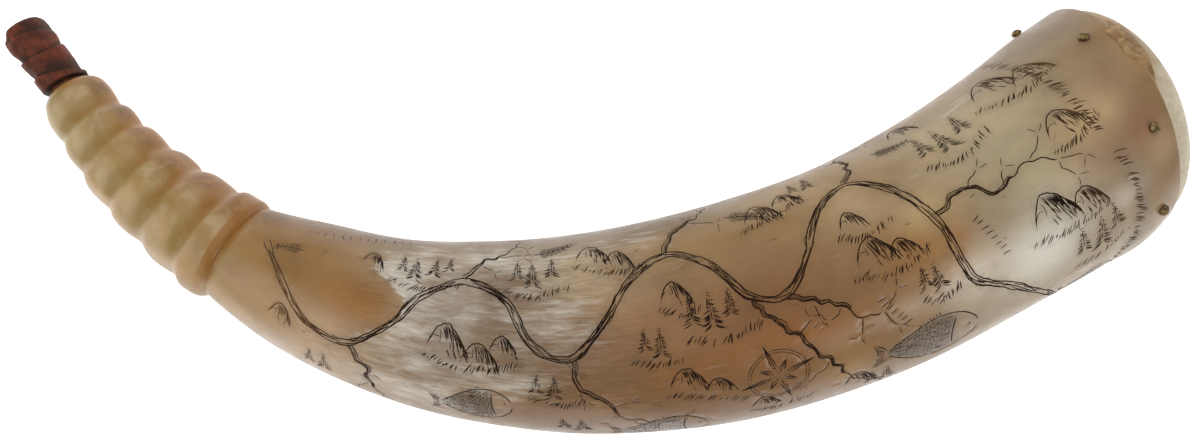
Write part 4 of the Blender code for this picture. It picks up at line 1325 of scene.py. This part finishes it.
# %% The brass pins
PIN_PLACES = ((-6, 1.35), (42, 0.95), (94, 0.85), (134, 1.1), (188, 1.2), (240, 1.0), (300, 1.0))
PIN_INSET, PIN_HEAD_RADIUS, PIN_HEAD_HEIGHT, PIN_SHANK_RADIUS, PIN_LENGTH = 7.4, 1.45, 1.6, 0.9, 9.0
PIN_SIDES = 24
SMALL_STEP = 0.002          # for the slopes of the surface under a pin
pin_profile = [(-PIN_LENGTH, 0.3), (1.8 - PIN_LENGTH, PIN_SHANK_RADIUS), (FIT_GAP / 2, PIN_SHANK_RADIUS)]
pin_profile += [(FIT_GAP + PIN_HEAD_HEIGHT * up, PIN_HEAD_RADIUS * out) for up, out in
                ((-0.1, 0.9), (0.05, 1.0), (0.4, 1.0), (0.62, 0.93), (0.8, 0.76), (0.93, 0.5), (1.0, 0.2))]
pin = turned("brass_pin_1", pin_profile, PIN_SIDES)
brass_finish, tree, shader = finish("tarnished_brass", Metallic=0.8, Roughness=0.5)
here = add(tree, "TexCoord").outputs["Object"]
tarnish = noise(tree, here, 900, 4, 0.6)
colour = blend(tree, remap(tree, tarnish, 0.38, 0.66), seen(88, 70, 44), seen(156, 132, 88))
tree.links.new(remap(tree, tarnish, 0.35, 0.7, 0.65, 0.42), shader.inputs["Roughness"])
dress(pin, brass_finish, colour)
smooth(pin, 40)
pin_mesh = pin.data.copy()
for number, (degrees, inset) in enumerate(PIN_PLACES, 1):
    if number > 1:
        pin = bpy.data.objects.new(f"brass_pin_{number}", pin_mesh.copy())
        bpy.context.scene.collection.objects.link(pin)
    points = points_of(pin)
    head = fade(points[:, 2], 0, 0.5)
    tip, lean = chance.uniform(0, 6.28), chance.uniform(0.05, 0.16)
    turned_by = np.arctan2(points[:, 1], points[:, 0])
    squash = 1 + head * (0.06 * np.sin(2 * turned_by + tip) + 0.04 * np.sin(3 * turned_by - tip))
    points[:, :2] *= squash[:, None]
    off_middle = np.hypot(points[:, 0], points[:, 1])
    points[:, 2] -= head * lean * (1 + np.cos(turned_by - tip)) * off_middle * (points[:, 2] > 1)
    move_points(pin, points)
    share, angle = inset * PIN_INSET / HORN_LENGTH, math.radians(degrees)
    seat = place(share, angle, law_radius(share)) + shift
    round_it = place(share, angle + SMALL_STEP, law_radius(share)) + shift - seat
    along_it = place(share + SMALL_STEP, angle, law_radius(share + SMALL_STEP)) + shift - seat
    straight = np.cross(along_it, round_it)
    straight = straight / np.linalg.norm(straight)
    if straight @ (seat - shift - section(share)[0]) < 0:
        straight = -straight
    stand_at(pin, seat, straight)
    set_on(pin, "brass", f"pin_{number}")
print("Pins:", len(PIN_PLACES))

# %% [markdown]
# The stopper is whittled from red-brown wood: a wedge of a flange, a barrel, a step, and a knob with a
# shallow groove below its top. Every ring is cut on a slant of its own. The steps are darker, darkest
# under the flange, and so is one side.

# %% The stopper
PEG_LENGTH, STOPPER_SIDES, STOPPER_STEP, STOPPER_OFFSET = 17.0, 72, 0.8, -0.25
peg_end = MOUTH_RADIUS - (MOUTH_RADIUS - BORE_RADIUS) * PEG_LENGTH / MOUTH_DEPTH - FIT_GAP
# height and radius in mm, and degrees of slant across the horn's plane and upwards
STOPPER_ROWS = (
    (-PEG_LENGTH, peg_end - 0.7, 0, 0), (1.4 - PEG_LENGTH, peg_end, 0, 0),
    (0, MOUTH_RADIUS - FIT_GAP, 0, 0), (1.9, 5.9, 3, 0), (2.2, 6.95, 7, 0), (2.6, 7.3, 8, 0),
    (4.4, 7.4, 16, 0), (5.6, 7.35, 21, 0), (5.95, 7.05, 22, 0), (6.1, 6.55, 22, 0), (7.0, 6.6, 20, 0),
    (9.0, 6.9, 16, -2), (12.0, 7.1, 12, -8), (14.6, 7.15, 10, -16), (15.0, 6.85, 10, -18),
    (15.15, 6.4, 10, -18), (15.9, 6.55, 10, -16), (17.5, 7.05, 10, -8), (19.5, 7.3, 11, -2),
    (20.9, 7.2, 12, 0), (21.2, 7.08, 13, 0), (21.6, 7.12, 13, 0), (23.0, 7.3, 6, 0), (24.2, 7.15, 0, 0),
    (24.8, 6.6, -2, 0), (25.1, 5.4, -2, 0))
# from one height to another, how many flats the knife left, and how far round the first one starts
PARED_BANDS = ((2, 6, 9, 0.3), (6, 15.1, 8, 1.1), (15.1, 30, 7, 2.0))
heights, radii, across, upwards = np.array(STOPPER_ROWS).T
fine = np.unique(np.concatenate([np.linspace(a, b, int((b - a) / STOPPER_STEP) + 2)
                                 for a, b in zip(heights, heights[1:])]))
stopper = turned("whittled_stopper", list(zip(fine, np.interp(fine, heights, radii))), STOPPER_SIDES)
points = points_of(stopper)
height, angle = points[:, 2].copy(), np.arctan2(points[:, 1], points[:, 0])
above = fade(height, 1.0, 2.2)
wobble = 0.012 * np.sin(3 * angle + 0.35 * height) + 0.008 * np.sin(5 * angle - 0.5 * height)
for low, high, sides_cut, first_cut in PARED_BANDS:
    band = (height > low) & (height <= high)
    wedge = np.mod(angle + first_cut + 0.3 * np.sin(angle), 2 * math.pi / sides_cut) - math.pi / sides_cut
    wobble += band * 0.3 * (math.cos(math.pi / sides_cut) ** 0.5 / np.maximum(np.cos(wedge), 0.9) - 1)
points[:, :2] *= (1 + wobble * above)[:, None]
points[:, 2] += np.tan(np.radians(np.interp(height, heights, across))) * points[:, 0]
points[:, 2] += np.tan(np.radians(np.interp(height, heights, upwards))) * points[:, 1]
points[:, 0] += STOPPER_OFFSET * above
rounded = fade(points[:, 0], 1.5, 7) * fade(height, 20.9, 24.8)         # one side of the top is worn round
points[:, 0] -= 1.3 * rounded
points[:, 2] -= 0.5 * rounded
move_points(stopper, points)
# height, reach and strength of the darker rows
DARKENED_ROWS = (
    (2.1, 0.5, 1.0), (6.4, 0.8, 0.95), (8.3, 1.4, 0.45), (15.3, 0.7, 0.9), (16.6, 1.3, 0.4),
    (21.3, 0.6, 0.7))
darkened = sum(strength * np.exp(-((height - row) / reach) ** 2) for row, reach, strength in DARKENED_ROWS)
# one side is darker too, most at the top of the knob and low down
darkened += (0.45 * fade(height, 20.8, 21.6) * fade(points[:, 0], 3.5, -1.5)
            + 0.15 * fade(points[:, 0], -1, -6))
darkened += 0.45 * fade(height, 13, 5) * fade(points[:, 0], 2, -5)
carry(stopper, "darkened", darkened)
crumble(stopper, "knife_marks", 0.003, 0.0005)
stand_at(stopper, section(1.0)[0] + shift, -mouth_out)
tend(stopper, turn_out)
smooth(stopper, 42)
print("Stopper:", point_count(stopper), "points")

# %% Finish of the stopper
stopper_finish, tree, shader = finish("red_brown_wood", Roughness=0.6, Specular_IOR_Level=0.15)
here = add(tree, "TexCoord").outputs["Object"]
axis = Vector(-mouth_out)
turn_to_axis = axis.to_track_quat("X", "Z").inverted().to_euler()
turned_here = add(tree, "Mapping", {"Vector": here, "Rotation": turn_to_axis}).outputs["Vector"]
grain = noise(tree, stretched(tree, turned_here, (110, 700, 700)), 1.0, 5, 0.55, 0.4)
shades = noise(tree, stretched(tree, here, (170, 170, 170), (4, 2, 1)), 1.0, 4, 0.6)
flecks = noise(tree, stretched(tree, here, (1500, 1500, 1500), (4, 2, 1)), 1.0, 2, 0.5)
colour = blend(tree, remap(tree, shades, 0.36, 0.64), seen(120, 62, 42), seen(84, 43, 31))
colour = lay(tree, colour, grain, 0.4, 0.75, 0.4, seen(84, 42, 30))
darkening_here = spread(tree, spread(tree, carried(tree, "darkened"), shades, 1.8), flecks, 0.8)
colour = lay(tree, colour, darkening_here, 0.3, 1.0, 0.8, seen(52, 38, 28))
roughen(tree, shader, 0.3, 0.0002, maths(tree, "ADD", grain, flecks))
dress(stopper, stopper_finish, colour)
set_on(stopper, "stained_wood", "stopper")
print("The stopper is finished")

# %% [markdown]
# The photograph looks straight down on the horn against plain white, in soft light from both sides. The
# floor is a large white sheet, which gives back enough light to leave only a faint shadow.

# %% Floor
FLOOR_SIZE = 8
bpy.ops.object.select_all(action="DESELECT")
bpy.ops.mesh.primitive_plane_add(size=FLOOR_SIZE)
floor = bpy.context.object
floor.name = floor.data.name = "floor"
floor_finish, tree, shader = finish("white_sheet", Base_Color=(0.9, 0.9, 0.9, 1), Roughness=0.9,
                                    Emission_Color=(1, 1, 1, 1), Emission_Strength=0.85)
floor.data.materials.append(floor_finish)
floor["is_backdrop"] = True
print("The floor is laid")

# %% Lights
# name, place and size in metres, and power in watts
LIGHTS = (("left_side", (-1.2, 0.0, 0.8), 0.9, 4.6), ("far_side", (-0.1, 1.15, 0.9), 1.2, 5.0),
          ("near_side", (0.8, -0.85, 0.85), 0.4, 4.0), ("overhead", (0.0, 0.0, 1.6), 1.6, 5.7))
SKY_STRENGTH = 0.28
for name, stand, size, power in LIGHTS:
    lamp = bpy.data.lights.new(name, "AREA")
    lamp.size, lamp.energy = size, power
    light = bpy.data.objects.new(name, lamp)
    bpy.context.scene.collection.objects.link(light)
    light.location = stand
    light.rotation_euler = (-Vector(stand)).to_track_quat("-Z", "Y").to_euler()
world = bpy.data.worlds.new("studio")
world.use_nodes = True
world.node_tree.nodes["Background"].inputs["Color"].default_value = (1, 1, 1, 1)
world.node_tree.nodes["Background"].inputs["Strength"].default_value = SKY_STRENGTH
bpy.context.scene.world = world
bpy.context.scene.view_settings.view_transform = "Standard"

# %% Camera
LENS, SENSOR = 29.64, 36    # in mm
CAMERA_PLACE = (0.01186, -0.00113, 0.33)
camera_data = bpy.data.cameras.new("camera")
camera_data.lens, camera_data.sensor_width, camera_data.sensor_fit = LENS, SENSOR, "HORIZONTAL"
camera_data.clip_start = 0.01
camera = bpy.data.objects.new("camera", camera_data)
bpy.context.scene.collection.objects.link(camera)
camera.location = CAMERA_PLACE
bpy.context.scene.camera = camera
print("The camera looks straight down from", camera.location.z, "m")

# %% The box round everything that is shown
low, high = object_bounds()
